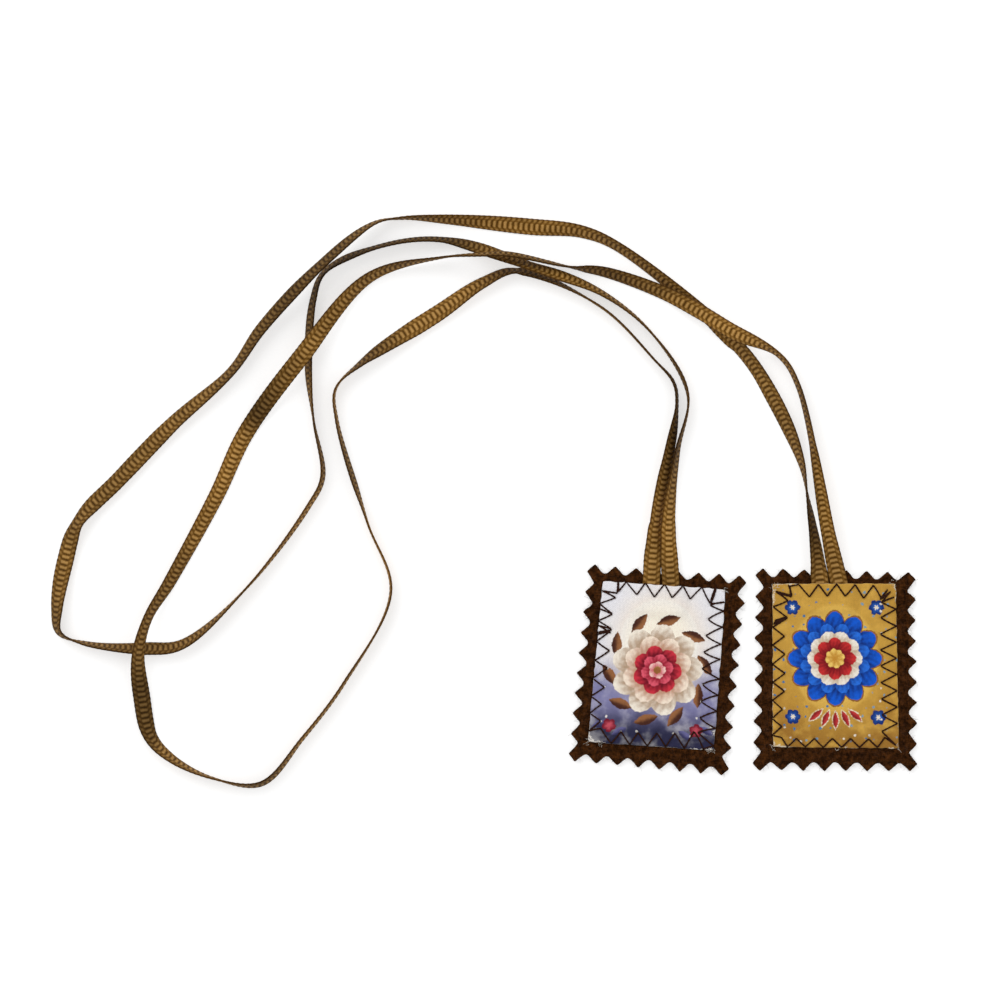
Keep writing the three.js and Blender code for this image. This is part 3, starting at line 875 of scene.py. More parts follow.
@dataclass
class FeltPanel:
    """One pinked wool felt panel, with its cut fibres standing out along the edges."""

    name: str
    node: str
    cut: Cut
    seed: int
    thickness: float = 1.6 * MM
    underside: float = 0.05 * MM
    teeth_across: int = 8
    teeth_down: int = 10
    notch_depth: float = 2.3 * MM
    notch_round: float = 0.62 * MM
    notch_shoulder: float = 2.12 * MM
    corner_cut: float = 2.0 * MM
    outline_points: int = 760
    fibre_count: int = 2600
    fibre_radius: float = 0.025 * MM
    flat_area: float = 0.00205
    edge_wander: float = 0.13 * MM
    edge_nicks: float = 0.05 * MM
    swell_height: float = 0.06 * MM
    lump_height: float = 0.035 * MM
    dimple_depth: float = 0.28 * MM
    dimple_reach: float = 0.55 * MM
    edge_fibre_share: float = 0.35

    def side_line(self, start: Array, end: Array, teeth: int) -> tuple[Array, Array]:
        """One pinked side: a zigzag of depths against the distance along it, with the notches to its left.

        Args:
            start: The side's first sharp corner.
            end: Its last sharp corner.
            teeth: Number of tooth tips.

        Returns:
            Points of the cut edge, and the points of the straight side beside them.
        """
        length = np.linalg.norm(end - start)
        way = (end - start) / length
        inward = np.array([-way[1], way[0]])
        pitch = (length - 2 * self.corner_cut) / (teeth - 1)
        tips = self.corner_cut + np.arange(teeth) * pitch
        notches = tips[:-1] + pitch / 2
        knots = np.concatenate([tips, notches - self.notch_round, notches, notches + self.notch_round])
        depths = np.concatenate([
            np.zeros(teeth),
            np.full(teeth - 1, self.notch_shoulder),
            np.full(teeth - 1, self.notch_depth),
            np.full(teeth - 1, self.notch_shoulder),
        ])
        order = np.argsort(knots)
        run = np.linspace(tips[0], tips[-1], 40 * (teeth - 1) + 1)
        depth = np.interp(run, knots[order], depths[order])
        side = start + run[:, None] * way
        return side + depth[:, None] * inward, side

    def outline(self) -> tuple[Array, Array]:
        """The whole cut edge at even steps, counterclockwise, eased so that no tip is needle sharp.

        Returns:
            Points of the cut edge and of the straight sides beside them.
        """
        corners = self.cut.at(np.array([-1, 1, 1, -1]), np.array([-1, -1, 1, 1]))
        teeth = (self.teeth_across, self.teeth_down, self.teeth_across, self.teeth_down)
        sides = [self.side_line(corners[k], corners[(k + 1) % 4], teeth[k]) for k in range(4)]
        edge = np.vstack([side[0] for side in sides])
        straight = np.vstack([side[1] for side in sides])
        steps = np.linalg.norm(np.roll(edge, -1, axis=0) - edge, axis=1)
        run = np.concatenate([[0], np.cumsum(steps)])
        even = np.linspace(0, run[-1], self.outline_points, endpoint=False)
        even_edge, even_straight = resampled(edge, run, even), resampled(straight, run, even)
        even_edge = (np.roll(even_edge, 1, axis=0) + 2 * even_edge + np.roll(even_edge, -1, axis=0)) / 4
        wander = np.stack([value_noise(even_edge, 2.1 * MM, self.seed + k) for k in (0, 1)], axis=1)
        nicks = np.stack([value_noise(even_edge, 0.6 * MM, self.seed + k) for k in (2, 3)], axis=1)
        return even_edge + self.edge_wander * wander + self.edge_nicks * nicks, even_straight

    def rings(self) -> tuple[Array, Array]:
        """Rings of points from the middle of the underside, over the cut edge, to the middle of the top.

        Each ring is the cut edge drawn in towards the straight sides, shrunk about the panel's centre.

        Returns:
            Plan points as rings by points by 2, and the height of each ring.
        """
        edge, straight = self.outline()
        centre = on_table(self.cut.centre)
        tangent = np.roll(edge, -1, axis=0) - np.roll(edge, 1, axis=0)
        outward = np.stack([tangent[:, 1], -tangent[:, 0]], axis=1)
        outward /= np.linalg.norm(outward, axis=1, keepdims=True)
        across = straight - centre
        inner = centre + across * 0.86
        legs = [edge * (1 - t) + inner * t for t in np.linspace(0.12, 1, 11)]
        middle = [centre + across * size for size in (0.83, 0.8, 0.77, 0.74, 0.6, 0.45, 0.3, 0.15, 0.02)]
        under = [centre + across * size for size in (0.02, 0.3, 0.6, 0.86)]
        under += [edge * (1 - t) + inner * t for t in (0.7, 0.4, 0.15)]
        low, high = self.underside, self.thickness
        # Rows of the cut wall: how far in from the edge, and how high.
        wall_rows = (
            (0.06 * MM, low + 0.04 * MM), (0.0, low + 0.25 * MM), (0.0, 0.5 * high), (0.0, 0.8 * high),
            (0.07 * MM, high - 0.12 * MM), (0.2 * MM, high - 0.03 * MM),
        )
        wall = [edge - outward * inset for inset, _ in wall_rows]
        plans = np.array(under + wall + legs + middle)
        wall_heights = [height for _, height in wall_rows]
        heights = np.array([low] * len(under) + wall_heights + [high] * (len(legs) + len(middle)))
        return plans, heights

    def top_height(self, points: Array) -> Array:
        """Height of the felt's top: its thickness, with low swells and matted lumps."""
        swells = value_noise(points, 5.5 * MM, self.seed + 7)
        lumps = value_noise(points, 1.1 * MM, self.seed + 8)
        return self.thickness + self.swell_height * swells + self.lump_height * lumps

    def build(self, finish: bpy.types.Material, holes: Array) -> bpy.types.Object:
        """Lofts the panel through its rings and presses a dimple in round each needle hole.

        Args:
            finish: The wool material.
            holes: The needle holes that lie on the felt.

        Returns:
            The panel, which stands in place of its solid, now hidden.
        """
        plans, levels = self.rings()
        top = self.top_height(plans) - self.thickness
        share = smoothstep(0.7, 1.0, levels / self.thickness)[:, None]
        dimple = self.dimple_depth * np.exp(-((gap_to(plans, holes) / self.dimple_reach) ** 2))
        heights = levels[:, None] + share * (top - dimple)
        points = np.dstack([plans, heights])
        rings, count = heights.shape
        quads = grid_quads(rings, count, closed=True)
        ends = [ring_cap(0, count, flip=True), ring_cap((rings - 1) * count, count, flip=False)]
        piece = cloth_piece(self.name, points.reshape(-1, 3), np.vstack([quads, *ends]), finish)
        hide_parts(self.node)
        return piece

    def build_fibres(self, finish: bpy.types.Material) -> bpy.types.Object:
        """Loose wool along the cut edge and on the margin: short bent hairs, each an arc from its root.

        Args:
            finish: The loose wool material.

        Returns:
            The hairs as one piece.
        """
        random = np.random.default_rng(self.seed)
        count = self.fibre_count
        edge, straight = self.outline()
        centre = on_table(self.cut.centre)
        pick = random.integers(0, len(edge), count)
        on_edge = random.random(count) < self.edge_fibre_share
        inset = np.where(on_edge, random.uniform(0.0, 0.06, count), random.uniform(0, 1, count))
        target = centre + (straight[pick] - centre) * 0.78
        root = edge[pick] * (1 - inset[:, None]) + target * inset[:, None]
        outward = edge[pick] - centre
        heading = np.arctan2(outward[:, 1], outward[:, 0]) + random.normal(0, 0.9, count)
        heading = np.where(on_edge, heading, random.uniform(0, 2 * math.pi, count))
        length = np.where(on_edge, random.uniform(0.08, 0.3, count), random.uniform(0.8, 2.2, count)) * MM
        bend = random.normal(0, 1.0, count)
        share = np.linspace(0, 1, 5)
        plan = curled(root, heading[:, None] + bend[:, None] * share[None], length)
        start = np.where(on_edge, random.uniform(0.2, 1.0, count), 1.0) * self.thickness
        rise = random.uniform(0.0, 0.18, count) * MM
        arch = np.where(on_edge, 0.0, 1.0)[:, None] * np.sin(math.pi * share)[None]
        height = start[:, None] + rise[:, None] * arch + 0.02 * MM
        height = np.where(on_edge[:, None], height - 0.5 * rise[:, None] * share, height)
        radius = self.fibre_radius * (1 - 0.6 * share)[None] * random.uniform(0.7, 1.2, count)[:, None]
        points, quads = tubes(np.dstack([plan, height]), radius, 4)
        piece = cloth_piece(f"{self.name}_fibres", points, quads, finish)
        return piece


def rosette(
    x: Array, y: Array, radius: float, petals: int, depth: float, turn: float = 0.0
) -> tuple[Array, Array]:
    """A round of petals: inside where the distance from the centre is under a radius that dips between them.

    Args:
        x: Distances across from the rosette's centre.
        y: Distances up from it.
        radius: Reach of a petal's tip.
        petals: Number of petals.
        depth: Share of the radius that is lost between two petals.
        turn: Turn of the first petal, in radians.

    Returns:
        The distance inside the rim, and the share of the way out to it.
    """
    reach, angle = np.hypot(x, y), np.arctan2(y, x) - turn
    rim = radius * (1 - depth + depth * np.abs(np.cos(petals * angle / 2)) ** 0.8)
    return rim - reach, reach / rim


def petal_light(x: Array, y: Array, out: Array, petals: int, covered: float, turn: float = 0.0) -> Array:
    """Light on a round of petals: dark where the next round covers them, bright at the tips, and streaked.

    Args:
        x: Distances across from the round's centre.
        y: Distances up from it.
        out: Share of the way out to the rim.
        petals: Number of petals.
        covered: Share of the way out that the next round covers.
        turn: Turn of the first petal, in radians.

    Returns:
        The light, 0 to 1.
    """
    angle = np.arctan2(y, x) - turn
    tip = np.clip((out - covered) / (1 - covered), 0, 1) ** 0.8
    middle = np.abs(np.cos(petals * angle / 2)) ** 1.5
    streaks = 0.1 * np.cos(7 * petals * angle / 2 + 1.7 * np.hypot(x, y))
    return np.clip(tip * (0.4 + 0.6 * middle) + streaks, 0, 1)


def leaf(
    x: Array, y: Array, at: tuple[float, float], long: float, wide: float, turn: float
) -> tuple[Array, Array]:
    """A pointed leaf: inside where the offset from its midrib is under a half width that falls as a cosine.

    Args:
        x: Distances across.
        y: Distances up.
        at: The leaf's middle.
        long: Its length.
        wide: Its width.
        turn: The turn of its midrib, in radians.

    Returns:
        The distance inside the leaf, and a light that is brighter on one side of the midrib.
    """
    along = (x - at[0]) * math.cos(turn) + (y - at[1]) * math.sin(turn)
    off = -(x - at[0]) * math.sin(turn) + (y - at[1]) * math.cos(turn)
    share = np.clip(np.abs(along) / (long / 2), 0, 1)
    inside = np.minimum(wide / 2 * np.cos(share * math.pi / 2) - np.abs(off), long / 2 - np.abs(along))
    return inside, 0.5 + 0.5 * np.tanh(off / 0.55)


def gathered(parts: list[tuple[Array, Array]]) -> tuple[Array, Array]:
    """Many shapes as one: the greatest inside distance, with the light of the shape that it comes from."""
    inside = np.stack([part[0] for part in parts])
    light = np.stack([part[1] for part in parts])
    best = np.argmax(inside, axis=0)[None]
    return np.take_along_axis(inside, best, axis=0)[0], np.take_along_axis(light, best, axis=0)[0]


@dataclass(frozen=True)
class PetalRound:
    """One round of petals: reach in millimetres, and shares lost between petals and under the next round."""

    name: str
    radius: float
    petals: int
    depth: float
    covered: float
    turn: float

    def fields(self, x: Array, y: Array) -> dict[str, Array]:
        """The round's inside distance and its light, by name."""
        inside, out = rosette(x, y, self.radius, self.petals, self.depth, self.turn)
        light = petal_light(x, y, out, self.petals, self.covered, self.turn)
        return {self.name: inside, f"{self.name}_light": light}


@dataclass(frozen=True)
class BloomPrint:
    """A full cream and crimson bloom in a wreath of brown leaves, on a pale ground that darkens below."""

    raised: float = -1.2

    def fields(self, x: Array, y: Array) -> dict[str, Array]:
        """Inside distances in millimetres and lights of the printed shapes.

        Args:
            x: Millimetres across from the cloth's centre.
            y: Millimetres up from it.

        Returns:
            Each field by name.
        """
        up = y - self.raised
        made = {"glow": 11.0 - np.hypot(x, (y - 6.0) * 0.9)}
        turns = np.arange(10) * math.pi / 5 + 0.16
        made["wreath"], made["wreath_light"] = gathered([
            leaf(x, up, (12.6 * math.cos(way), 13.4 * math.sin(way)), 6.8, 2.8, way + math.pi / 2 + 0.5)
            for way in turns
        ])
        made["sprays"], made["sprays_light"] = gathered([
            leaf(x, y, (side * (11.8 - 3.2 * tip), -17.0 - 0.9 * tip), 4.6, 1.7, side * -0.5)
            for side in (-1, 1) for tip in (1, -0.7)
        ])
        buds = gathered([rosette(x - side * 11.4, y + 16.6, 1.9, 5, 0.3, 0.3 * side) for side in (-1, 1)])
        made["buds"], made["buds_light"] = buds[0], 1 - buds[1]
        for petals in (
            PetalRound("outer", 12.2, 9, 0.22, 0.7, 0.1),
            PetalRound("next", 9.2, 8, 0.2, 0.66, 0.35),
            PetalRound("crimson", 6.5, 7, 0.2, 0.6, 0.0),
            PetalRound("inner", 4.3, 6, 0.22, 0.45, 0.3),
            PetalRound("pale", 2.3, 5, 0.2, 0.3, 0.1),
        ):
            made.update(petals.fields(x, up))
        made["middle"] = 1.0 - np.hypot(x, up)
        return made

    def finish(self) -> PrintFinish:
        """The print's inks, from the ground up."""
        return PrintFinish(
            name="bloom_print",
            ground_top=tone(236, 235, 240),
            ground_foot=tone(132, 130, 172),
            foot_edge=tone(42, 42, 70),
            blotch=tone(244, 240, 236),
            blotch_share=0.3,
            layers=(
                Layer("glow", tone(250, 234, 212), tone(255, 246, 228), "glow", 6.0),
                Layer("sprays", tone(52, 50, 88), tone(104, 102, 150), "sprays_light"),
                Layer("buds", tone(120, 20, 40), tone(206, 84, 100), "buds_light"),
                Layer("wreath", tone(70, 36, 26), tone(152, 100, 62), "wreath_light"),
                Layer("outer", tone(184, 156, 130), tone(248, 238, 222), "outer_light"),
                Layer("next", tone(196, 150, 124), tone(250, 232, 212), "next_light"),
                Layer("crimson", tone(110, 14, 32), tone(208, 50, 66), "crimson_light"),
                Layer("inner", tone(150, 22, 44), tone(230, 92, 112), "inner_light"),
                Layer("pale", tone(206, 90, 104), tone(250, 206, 196), "pale_light"),
                Layer("middle", tone(150, 96, 50), tone(240, 206, 130), "pale_light"),
                Layer("pricks", tone(206, 200, 192), tone(232, 226, 220), "sprays_light"),
            ),
            wear=tone(228, 222, 214),
        )


@dataclass(frozen=True)
class MedallionPrint:
    """A blue many-petalled medallion round a cream and red one, on mottled gold with small blue flecks."""

    raised: float = 1.9
    fleck_step: float = 3.0

    def flecks(self, x: Array, y: Array) -> Array:
        """Scattered round flecks, one in most cells of a grid, placed and sized by a sine hash."""
        column, row = np.floor(x / self.fleck_step), np.floor(y / self.fleck_step)
        waves = [column * 12.9 + row * 78.2, column * 39.3 + row * 11.1, column * 73.1 + row * 52.2]
        draws = [np.abs(np.sin(wave) * 437.5) % 1.0 for wave in waves]
        middle_x = (column + 0.25 + 0.5 * draws[0]) * self.fleck_step
        middle_y = (row + 0.25 + 0.5 * draws[1]) * self.fleck_step
        return (0.46 * draws[2] - 0.02) - np.hypot(x - middle_x, y - middle_y)

    def fields(self, x: Array, y: Array) -> dict[str, Array]:
        """Inside distances in millimetres and lights of the printed shapes.

        Args:
            x: Millimetres across from the cloth's centre.
            y: Millimetres up from it.

        Returns:
            Each field by name.
        """
        up = y - self.raised
        made = {"glow": 12.0 - np.hypot(x, up * 0.8), "flecks": self.flecks(x, y)}
        made["fans"], made["fans_light"] = gathered([
            leaf(x, y, (lean * 2.6, 0.45 * abs(lean) ** 1.5 - 14.4), 5.0, 1.7, lean * 0.42 - math.pi / 2)
            for lean in (-2, -1, 0, 1, 2)
        ])
        made["fan_line"] = 0.14 - np.abs(made["fans"])
        corners = [(side, row) for side in (-1, 1) for row in (15.4, -13.6)]
        buds = gathered([rosette(x - side * 11.2, y - row, 2.1, 6, 0.26) for side, row in corners])
        made["buds"], made["buds_light"] = buds[0], 1 - buds[1]
        made["bud_middles"] = buds[0] - 1.35
        for petals in (
            PetalRound("petals", 12.4, 12, 0.22, 0.55, 0.0),
            PetalRound("lower", 9.4, 12, 0.2, 0.6, math.pi / 12),
            PetalRound("cream", 7.3, 10, 0.12, 0.6, 0.0),
            PetalRound("red", 5.6, 8, 0.2, 0.45, 0.0),
            PetalRound("gold", 2.6, 8, 0.16, 0.1, 0.2),
        ):
            made.update(petals.fields(x, up))
        made["rim"] = made["petals"] + 0.5
        return made

    def finish(self) -> PrintFinish:
        """The print's inks, from the ground up."""
        return PrintFinish(
            name="medallion_print",
            ground_top=tone(190, 144, 60),
            ground_foot=tone(180, 132, 52),
            foot_edge=tone(158, 112, 44),
            blotch=tone(218, 172, 78),
            blotch_share=0.8,
            layers=(
                Layer("glow", tone(212, 166, 70), tone(238, 194, 92), "glow", 9.0),
                Layer("flecks", tone(74, 118, 158), tone(128, 158, 176), "fans_light"),
                Layer("fans", tone(134, 26, 32), tone(196, 56, 54), "fans_light"),
                Layer("fan_line", tone(222, 204, 170), tone(236, 222, 194), "fans_light", 0.1),
                Layer("buds", tone(16, 44, 112), tone(50, 104, 196), "buds_light"),
                Layer("bud_middles", tone(206, 190, 160), tone(238, 228, 208), "buds_light"),
                Layer("rim", tone(120, 78, 34), tone(150, 100, 44), "petals_light"),
                Layer("petals", tone(10, 30, 92), tone(18, 92, 212), "petals_light"),
                Layer("lower", tone(12, 38, 116), tone(40, 112, 222), "lower_light"),
                Layer("cream", tone(196, 170, 140), tone(246, 238, 224), "cream_light"),
                Layer("red", tone(120, 16, 26), tone(204, 48, 48), "red_light"),
                Layer("gold", tone(196, 138, 48), tone(244, 206, 110), "gold_light"),
                Layer("pricks", tone(206, 198, 180), tone(234, 226, 210), "fans_light"),
            ),
            wear=tone(224, 208, 182),
        )


@dataclass
class PrintPatch:
    """One printed cloth patch, laid on its felt and raised over the two ribbon ends tucked under its top."""

    name: str
    node: str
    slot: str
    cut: Cut
    felt: FeltPanel
    felt_piece: str
    tuck: Pixel
    art: BloomPrint | MedallionPrint
    scuffs: tuple[Scuff, ...]
    pricks: tuple[Pixel, ...]
    seed: int
    thickness: float = 0.42 * MM
    rise: float = 0.85 * MM
    tucked_half_width: float = 5.2 * MM
    tuck_cover: float = 6.4 * MM
    slope: float = 3.5 * MM
    lie: float = 0.06 * MM
    wave_height: float = 0.12 * MM
    raggedness: float = 0.14 * MM
    dimple_depth: float = 0.24 * MM
    dimple_reach: float = 0.5 * MM
    curl_height: float = 0.1 * MM
    columns: int = 150
    rows: int = 194

    def lay(self, points: Array, u: Array, v: Array) -> Array:
        """Height of the patch's underside over the table.

        It is the felt's top, plus a rise over the ribbon ends that eases out by smoothsteps beside and below
        them, plus low waves in the cloth that die away at the sewn edges.

        Args:
            points: Places on the table.
            u: Shares across the patch, -1 to 1.
            v: Shares up the patch, -1 to 1.

        Returns:
            The height at each place.
        """
        across, _ = self.cut.axes()
        beside = np.abs((points - on_table(self.tuck)) @ across)
        below = (1 - v) * self.cut.height / 2
        covers = 1 - smoothstep(self.tucked_half_width, self.tucked_half_width + self.slope, beside)
        covers = covers * (1 - smoothstep(self.tuck_cover, self.tuck_cover + self.slope, below))
        free = smoothstep(0, 0.3, 1 - np.abs(u)) * smoothstep(0, 0.25, 1 - np.abs(v))
        waves = value_noise(points, 8 * MM, self.seed) + 0.5 * value_noise(points, 3.5 * MM, self.seed + 1)
        return self.felt.thickness + self.lie + self.rise * covers + free * self.wave_height * (waves + 0.7)

    def surface(self, points: Array) -> Array:
        """Height of whatever cloth is on top at a place: the patch, or the felt beyond its edges."""
        place = self.cut.locate(points)
        u, v = place[..., 0], place[..., 1]
        on_patch = (np.abs(u) < 1) & (np.abs(v) < 1)
        patch = self.lay(points, np.clip(u, -1, 1), np.clip(v, -1, 1)) + self.thickness
        return np.where(on_patch, patch, self.felt.thickness)

    def wear(self, plan: Array) -> dict[str, Array]:
        """Where the print has worn: in from the edge, more at the scuffs, and at the pale needle pricks."""
        places = np.array(self.scuffs, float)
        away = np.linalg.norm(plan[:, :, None] - on_table(places[:, :2]), axis=-1) / MM
        scuff = 0.1 + np.sum(places[:, 3] * np.exp(-((away / places[:, 2]) ** 2)), axis=-1)
        prick = gap_to(plan, on_table(np.array(self.pricks, float)))
        return {"scuff": scuff, "pricks": 0.3 - prick / MM}

    def build(self, finish: bpy.types.Material, holes: Array) -> bpy.types.Object:
        """Makes the wall from an upper and a lower grid, dimpled at the needle holes and ragged at its edges.

        Args:
            finish: The printed cloth material.
            holes: All needle holes of the patch.

        Returns:
            The patch, declared as a sheet in place of its solid.
        """
        u, v = np.meshgrid(np.linspace(-1, 1, self.columns + 1), np.linspace(-1, 1, self.rows + 1))
        rounding = 1 - 0.009 * (np.abs(u) * np.abs(v)) ** 22
        plain = self.cut.at(u, v)
        ragged = np.stack([value_noise(plain, 1.3 * MM, self.seed + k) for k in (3, 4)], axis=-1)
        rim_share = np.maximum(smoothstep(0.93, 1, np.abs(u)), smoothstep(0.95, 1, np.abs(v)))[..., None]
        plan = self.cut.at(u * rounding, v * rounding) + self.raggedness * ragged * rim_share
        under = self.lay(plan, u, v)
        pulled = self.dimple_depth * np.exp(-((gap_to(plan, holes) / self.dimple_reach) ** 2))
        edge_gap = np.minimum((1 - np.abs(u)) * self.cut.width / 2, (1 - np.abs(v)) * self.cut.height / 2)
        at_edge = 1 - smoothstep(0, 0.9 * MM, edge_gap)
        curl = self.curl_height * at_edge * value_noise(plan, 2.7 * MM, self.seed + 5)
        rounded = self.thickness * (1 - 0.35 * (1 - smoothstep(0, 0.35 * MM, edge_gap)))
        upper = np.dstack([plan, under + rounded - pulled + curl])
        lower = np.dstack([plan, np.maximum(under - pulled + np.minimum(curl, 0), self.felt.thickness)])
        count = u.size
        top = grid_quads(self.rows + 1, self.columns + 1, closed=False)
        number = np.arange(count).reshape(u.shape)
        rim = np.concatenate([number[0, :-1], number[:-1, -1], number[-1, :0:-1], number[:0:-1, 0]])
        after = np.roll(rim, -1)
        wall = np.stack([rim + count, after + count, after, rim], axis=1)
        quads = np.vstack([top, top[:, ::-1] + count, wall])
        points = np.vstack([upper.reshape(-1, 3), lower.reshape(-1, 3)])
        x, y = u * self.cut.width / 2 / MM, v * self.cut.height / 2 / MM
        fields = {"edge": edge_gap / MM, "height": y, **self.wear(plan), **self.art.fields(x, y)}
        doubled = {name: np.tile(values.ravel(), 2) for name, values in fields.items()}
        uv = np.tile(np.stack([x, y], axis=-1).reshape(-1, 2), (2, 1))
        piece = cloth_piece(self.name, points, quads, finish, uv, doubled)
        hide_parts(self.node)
        return piece


@dataclass
class ZigzagSeam:
    """The machine zigzag that sews a patch down: one stitch of thread between each pair of holes."""

    name: str
    patch: PrintPatch
    holes: tuple[Pixel, ...]
    seed: int
    radius: float = 0.21 * MM
    bow: float = 0.045 * MM
    loose_bow: float = 0.0
    dive: float = 0.7 * MM

    def hole_places(self) -> Array:
        """The needle holes on the table."""
        return on_table(np.array(self.holes, float))

    def build(self, finish: bpy.types.Material) -> bpy.types.Object:
        """Lays each stitch as a chord held above the cloth, with both ends diving into their holes.

        Args:
            finish: The thread material.

        Returns:
            The face stitches and the bobbin stitches on the back as one piece.
        """
        random = np.random.default_rng(self.seed)
        places = self.hole_places()
        start, end = places[:-1], places[1:]
        length = np.linalg.norm(end - start, axis=1, keepdims=True)
        share = np.linspace(0, 1, 17)
        straight = start[:, None] + (end - start)[:, None] * share[None, :, None]
        way = (end - start) / (length + 1e-9)
        toward_right = self.patch.cut.locate((start + end) / 2)[:, 0]
        slack = self.loose_bow * smoothstep(0.55, 0.75, toward_right)
        bow = self.bow * random.normal(0, 1, len(start)) - slack
        normal = np.stack([-way[:, 1], way[:, 0]], axis=1)
        plan = straight + (bow[:, None] * np.sin(math.pi * share))[..., None] * normal[:, None]
        chord = self.patch.surface(start)[:, None] * (1 - share) + self.patch.surface(end)[:, None] * share
        over = np.maximum(self.patch.surface(plan), chord) + 0.55 * self.radius
        sunk = 1 - smoothstep(0, 0.3 * MM, np.minimum(share, 1 - share) * length)
        face = np.dstack([plan, over - self.dive * sunk])
        back = np.dstack([straight, np.full(over.shape, self.radius * 0.9 + 0.02 * MM)])
        width = self.radius * random.uniform(0.92, 1.08, len(start))[:, None] * np.ones_like(share)[None]
        face_points, face_quads = tubes(face, width, 10, twist=6.0)
        back_points, back_quads = tubes(back, width * 0.9, 8)
        points = np.vstack([face_points, back_points])
        quads = np.vstack([face_quads, back_quads + len(face_points)])
        return cloth_piece(self.name, points, quads, finish)


@dataclass
class FrayedEnds:
    """Pale loose yarns where a printed patch has frayed: short curls that start under its edge."""

    name: str
    patch: PrintPatch
    spots: tuple[Pixel, ...]
    seed: int
    per_spot: int = 6
    radius: float = 0.04 * MM

    def build(self, finish: bpy.types.Material) -> bpy.types.Object:
        """Curls each yarn: its heading turns at an even rate while it runs out, and it settles on the felt.

        Args:
            finish: The yarn material.

        Returns:
            The yarns as one piece.
        """
        random = np.random.default_rng(self.seed)
        spots = np.repeat(on_table(np.array(self.spots, float)), self.per_spot, axis=0)
        count = len(spots)
        root = spots + random.normal(0, 0.55, (count, 2)) * MM
        outward = spots - on_table(self.patch.cut.centre)
        heading = np.arctan2(outward[:, 1], outward[:, 0]) + random.normal(0, 1.1, count)
        share = np.linspace(0, 1, 9)
        angle = heading[:, None] + random.normal(0, 1.6, count)[:, None] * share[None]
        length = random.uniform(0.4, 1.3, count) * MM
        plan = curled(root, angle, length)
        lift = random.uniform(0.0, 0.25, count)[:, None] * MM * np.sin(math.pi * share)[None]
        height = self.patch.surface(plan) + self.radius + lift
        smooth = (np.roll(height, 1, axis=1) + height + np.roll(height, -1, axis=1)) / 3
        height[:, 1:-1] = smooth[:, 1:-1]
        radius = self.radius * (1 - 0.45 * share)[None] * random.uniform(0.7, 1.3, count)[:, None]
        points, quads = tubes(np.dstack([plan, height]), radius, 6)
        return cloth_piece(self.name, points, quads, finish)


class Side(Enum):
    """The two ends of the scapular as they lie."""

    LEFT = "left"
    RIGHT = "right"


@dataclass(frozen=True)
class Studio:
    """A pale table under soft light, seen straight down."""

    table_size: float = 3.0
    lens: float = 180.0
    sensor: float = 36.0
    table_drop: float = 0.04 * MM
    table_grey: float = 0.6
    table_glow: float = 0.58
    sky: float = 0.52

    def place_camera(self) -> None:
        """Hangs the camera over the flat lay's middle, so high that the photo's width just fills the view."""
        data = bpy.data.cameras.new("overhead")
        data.lens = self.lens
        data.sensor_width = self.sensor
        data.clip_start, data.clip_end = 0.01, 20.0
        camera = bpy.data.objects.new("overhead", data)
        centre = on_table(VIEW_CENTRE_PIXEL)
        camera.location = (centre[0], centre[1], VIEW_PIXELS * PIXEL * self.lens / self.sensor)
        bpy.context.scene.collection.objects.link(camera)
        bpy.context.scene.camera = camera

    def lay_table(self) -> None:
        """A flat pale table just under the cloth."""
        half = self.table_size / 2
        corners = ((-half, -half), (half, -half), (half, half), (-half, half))
        mesh = bpy.data.meshes.new("table")
        mesh.from_pydata([(x, y, -self.table_drop) for x, y in corners], [], [(0, 1, 2, 3)])
        material, _, shader = start_material("table")
        shader["Base Color"].default_value = (self.table_grey, self.table_grey, self.table_grey, 1.0)
        shader["Roughness"].default_value = 0.9
        shader["Specular IOR Level"].default_value = 0.1
        shader["Emission Color"].default_value = (1.0, 1.0, 1.0, 1.0)
        shader["Emission Strength"].default_value = self.table_glow
        mesh.materials.append(material)
        table = bpy.data.objects.new("table", mesh)
        bpy.context.scene.collection.objects.link(table)

    def light(self) -> None:
        """A pale sky with one broad lamp to the upper left and a weaker one to the right."""
        world = bpy.data.worlds.new("studio")
        world.use_nodes = True
        world.node_tree.nodes["Background"].inputs["Color"].default_value = (1.0, 1.0, 1.0, 1.0)
        world.node_tree.nodes["Background"].inputs["Strength"].default_value = self.sky
        bpy.context.scene.world = world
        centre = on_table(VIEW_CENTRE_PIXEL)
        # Each lamp's name, place from the middle in metres, power in watts and size in metres.
        for name, offset, power, size in (
            ("key", (-0.7, 0.9, 1.15), 13.0, 1.3),
            ("fill", (0.9, -0.2, 1.2), 4.0, 1.4),
        ):
            data = bpy.data.lights.new(name, "AREA")
            data.energy, data.size = power, size
            lamp = bpy.data.objects.new(name, data)
            lamp.location = (centre[0] + offset[0], centre[1] + offset[1], offset[2])
            distance = math.hypot(offset[0], offset[1])
            lean, bearing = math.atan2(distance, offset[2]), math.atan2(offset[1], offset[0])
            lamp.rotation_euler = (lean, 0, bearing + math.pi / 2)
            bpy.context.scene.collection.objects.link(lamp)
        bpy.context.scene.view_settings.view_transform = "Standard"


# Height of a ribbon's lower edge where it lies on the felt: the felt and a hair over it, in millimetres.
ON_FELT = 1.66
